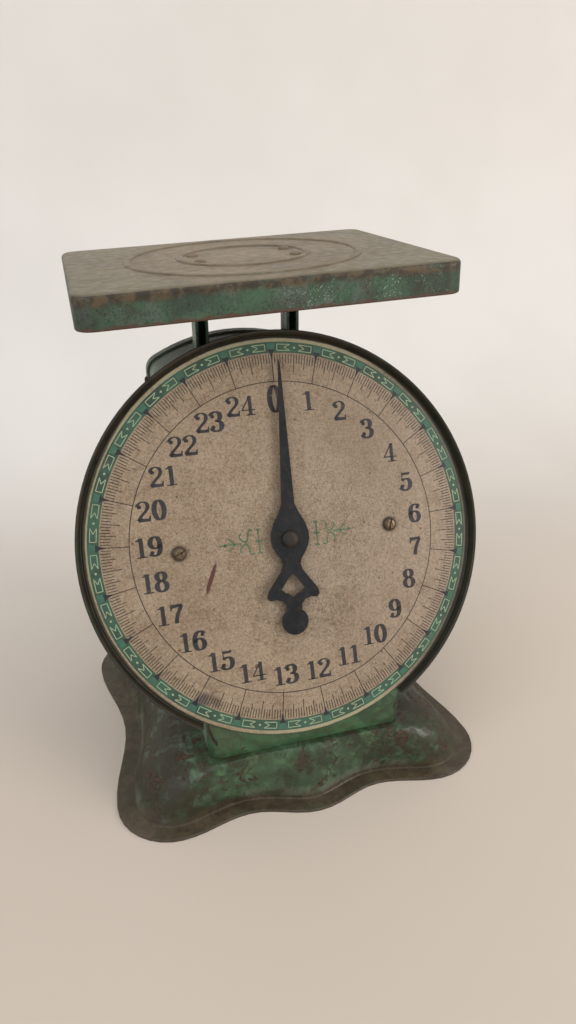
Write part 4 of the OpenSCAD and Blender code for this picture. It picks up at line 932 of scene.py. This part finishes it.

# %% [markdown]
# ## Scrolls
# On either side of the pointer's boss is a small green scroll of a post, tendrils and an arrow, another
# common stencil ornament. Its upper strokes are mirrored to make the lower ones, and one side to make the
# other, so only a quarter is listed.

# %% The two scrolls
SCROLL_PEN = 0.85  # mm
strokes = [
    [(15.5, 5.5), (15.5, -5.5)],
    [(13.6, 0), (17.2, 0)],
    [(24.5, 0), (36, 0)],
    [(32.5, 0.9), (33.4, 0), (32.5, -0.9)],
]
for half in (1, -1):
    for path in (
        [(14.3, 6.3), (15.5, 5.5), (16.4, 6.4)],
        curve((18.4, 5.8), (22.5, 7.4), (19.2, 2.2), (22.6, 0.4)),
        curve((22.6, 0.4), (25.6, 1.6), (26.2, 4.4), (24.2, 4.8)),
        curve((28, 0), (29.4, 1.4), (29.6, 2.6), (31.2, 2.8)),
    ):
        strokes.append([(x, y * half) for x, y in path])
scrolls = []
for side in (-1, 1):
    for path in strokes:
        for p, q in zip(path, path[1:]):
            scrolls.append([on_dial(side * x, y + 0.6, LIFT) for x, y in pen_line(p, q, SCROLL_PEN)])
printed("dial_scrolls", scrolls, dial_finish("faded_green_print", "#3f6248", 0.0, "#55755a"))

# %% [markdown]
# ## The room
# The scale stands on pale cloth that sweeps up into a wall, so that no line is seen behind it. Cotton is
# matt, 0.85 in roughness, and has hardly any shine. Its weave is left out, so that the floor stays plain.
# The near floor is a little darker and warmer than the wall.

# %% Cotton cloth
def cloth_finish(name):
    """Off-white cotton, faintly clouded, and warmer towards the front."""
    m = Finish(name)
    color = coat(m, "#e6e3df", "#ebe8e5", clouds(m, 160, 2, 0.5).between(0.3, 0.7))
    near = coat(m, color, "#cdbeae", 0.8)
    far = along(m, (0, 0.8, 0.6)).between(-100 * MM, 420 * MM)
    return finished(m, coat(m, near, color, far), 0.85, 0.0, None, 0, 0, shine=0.2)


# %% The floor that sweeps up into a wall
FLOOR_FROM, FLOOR_TO, SWEEP, WALL_TOP, HALF_WIDTH = -1.6, 0.22, 0.35, 2.2, 2.5  # metres
profile = [(FLOOR_FROM, 0.0), (FLOOR_TO, 0.0)]
for i in range(1, 13):
    a = math.radians(90 * i / 12)
    profile.append((FLOOR_TO + SWEEP * math.sin(a), SWEEP - SWEEP * math.cos(a)))
profile.append((FLOOR_TO + SWEEP, WALL_TOP))
corners = [(x, y, z) for x in (-HALF_WIDTH, HALF_WIDTH) for y, z in profile]
n = len(profile)
faces = [(n + i, n + i + 1, i + 1, i) for i in range(n - 1)]
mesh = bpy.data.meshes.new("backdrop")
mesh.from_pydata(corners, [], faces)
mesh.shade_smooth()
mesh.materials.append(cloth_finish("pale_cloth"))
obj = bpy.data.objects.new("backdrop", mesh)
bpy.context.scene.collection.objects.link(obj)
print("backdrop of", len(faces), "strips")

# %% [markdown]
# ## Light
# The light is that of a room by day: a window at the right, the pale room at the left, the ceiling, and a
# dim light from all round. A sun lamp would give hard shadows, and large area lights give the soft ones
# of a room. They are set to a level at which a colour renders about as it is written.

# %% Window, room and ceiling
def area_light(name, place, aim, size, watts, color):
    light = bpy.data.lights.new(name, "AREA")
    light.shape = "RECTANGLE"
    light.size, light.size_y = size
    light.energy = watts
    light.color = linear(color)[:3]
    obj = bpy.data.objects.new(name, light)
    bpy.context.scene.collection.objects.link(obj)
    obj.location = place
    obj.rotation_euler = (Vector(aim) - Vector(place)).to_track_quat("-Z", "Y").to_euler()
    print(name, "of", watts, "watts")


area_light("window_right", (1.15, -1.0, 0.62), (0, 0, 0.13), (0.8, 0.8), 12.0, "#fffaf2")
area_light("room_left", (-1.2, -0.9, 1.1), (0, 0, 0.12), (1.6, 1.2), 10.5, "#f6f9ff")
area_light("room_top", (0.1, -0.1, 1.8), (0, 0, 0.1), (1.8, 1.8), 8, "#ffffff")

world = bpy.data.worlds.new("room")
bpy.context.scene.world = world
world.use_nodes = True
background = world.node_tree.nodes["Background"]
background.inputs["Color"].default_value = linear("#eceae6")
background.inputs["Strength"].default_value = 0.48
print("light from all round at", round(background.inputs["Strength"].default_value, 2))

# %% [markdown]
# ## Camera
# The scale is seen from a little above and from its left, as someone sees it who is about to read it. The
# camera's place is given from the dial's centre, and its direction by three angles, so that both can be
# changed one at a time.

# %% The camera
lens = bpy.data.cameras.new("camera")
lens.sensor_fit = "AUTO"
lens.sensor_width = 36
lens.lens = 26.03
lens.clip_start = 0.01
camera = bpy.data.objects.new("camera", lens)
bpy.context.scene.collection.objects.link(camera)
camera.location = DIAL_CENTRE + Vector((-95.8, -323.0, 176.35)) * MM
TILT, ROLL, TURN = 64.396, 0.252, -16.63  # degrees from looking straight down
camera.rotation_euler = [math.radians(v) for v in (TILT, ROLL, TURN)]
bpy.context.scene.camera = camera
bpy.context.scene.view_settings.view_transform = "Standard"
print("camera at", [round(v / MM) for v in camera.location], "mm")

# %% [markdown]
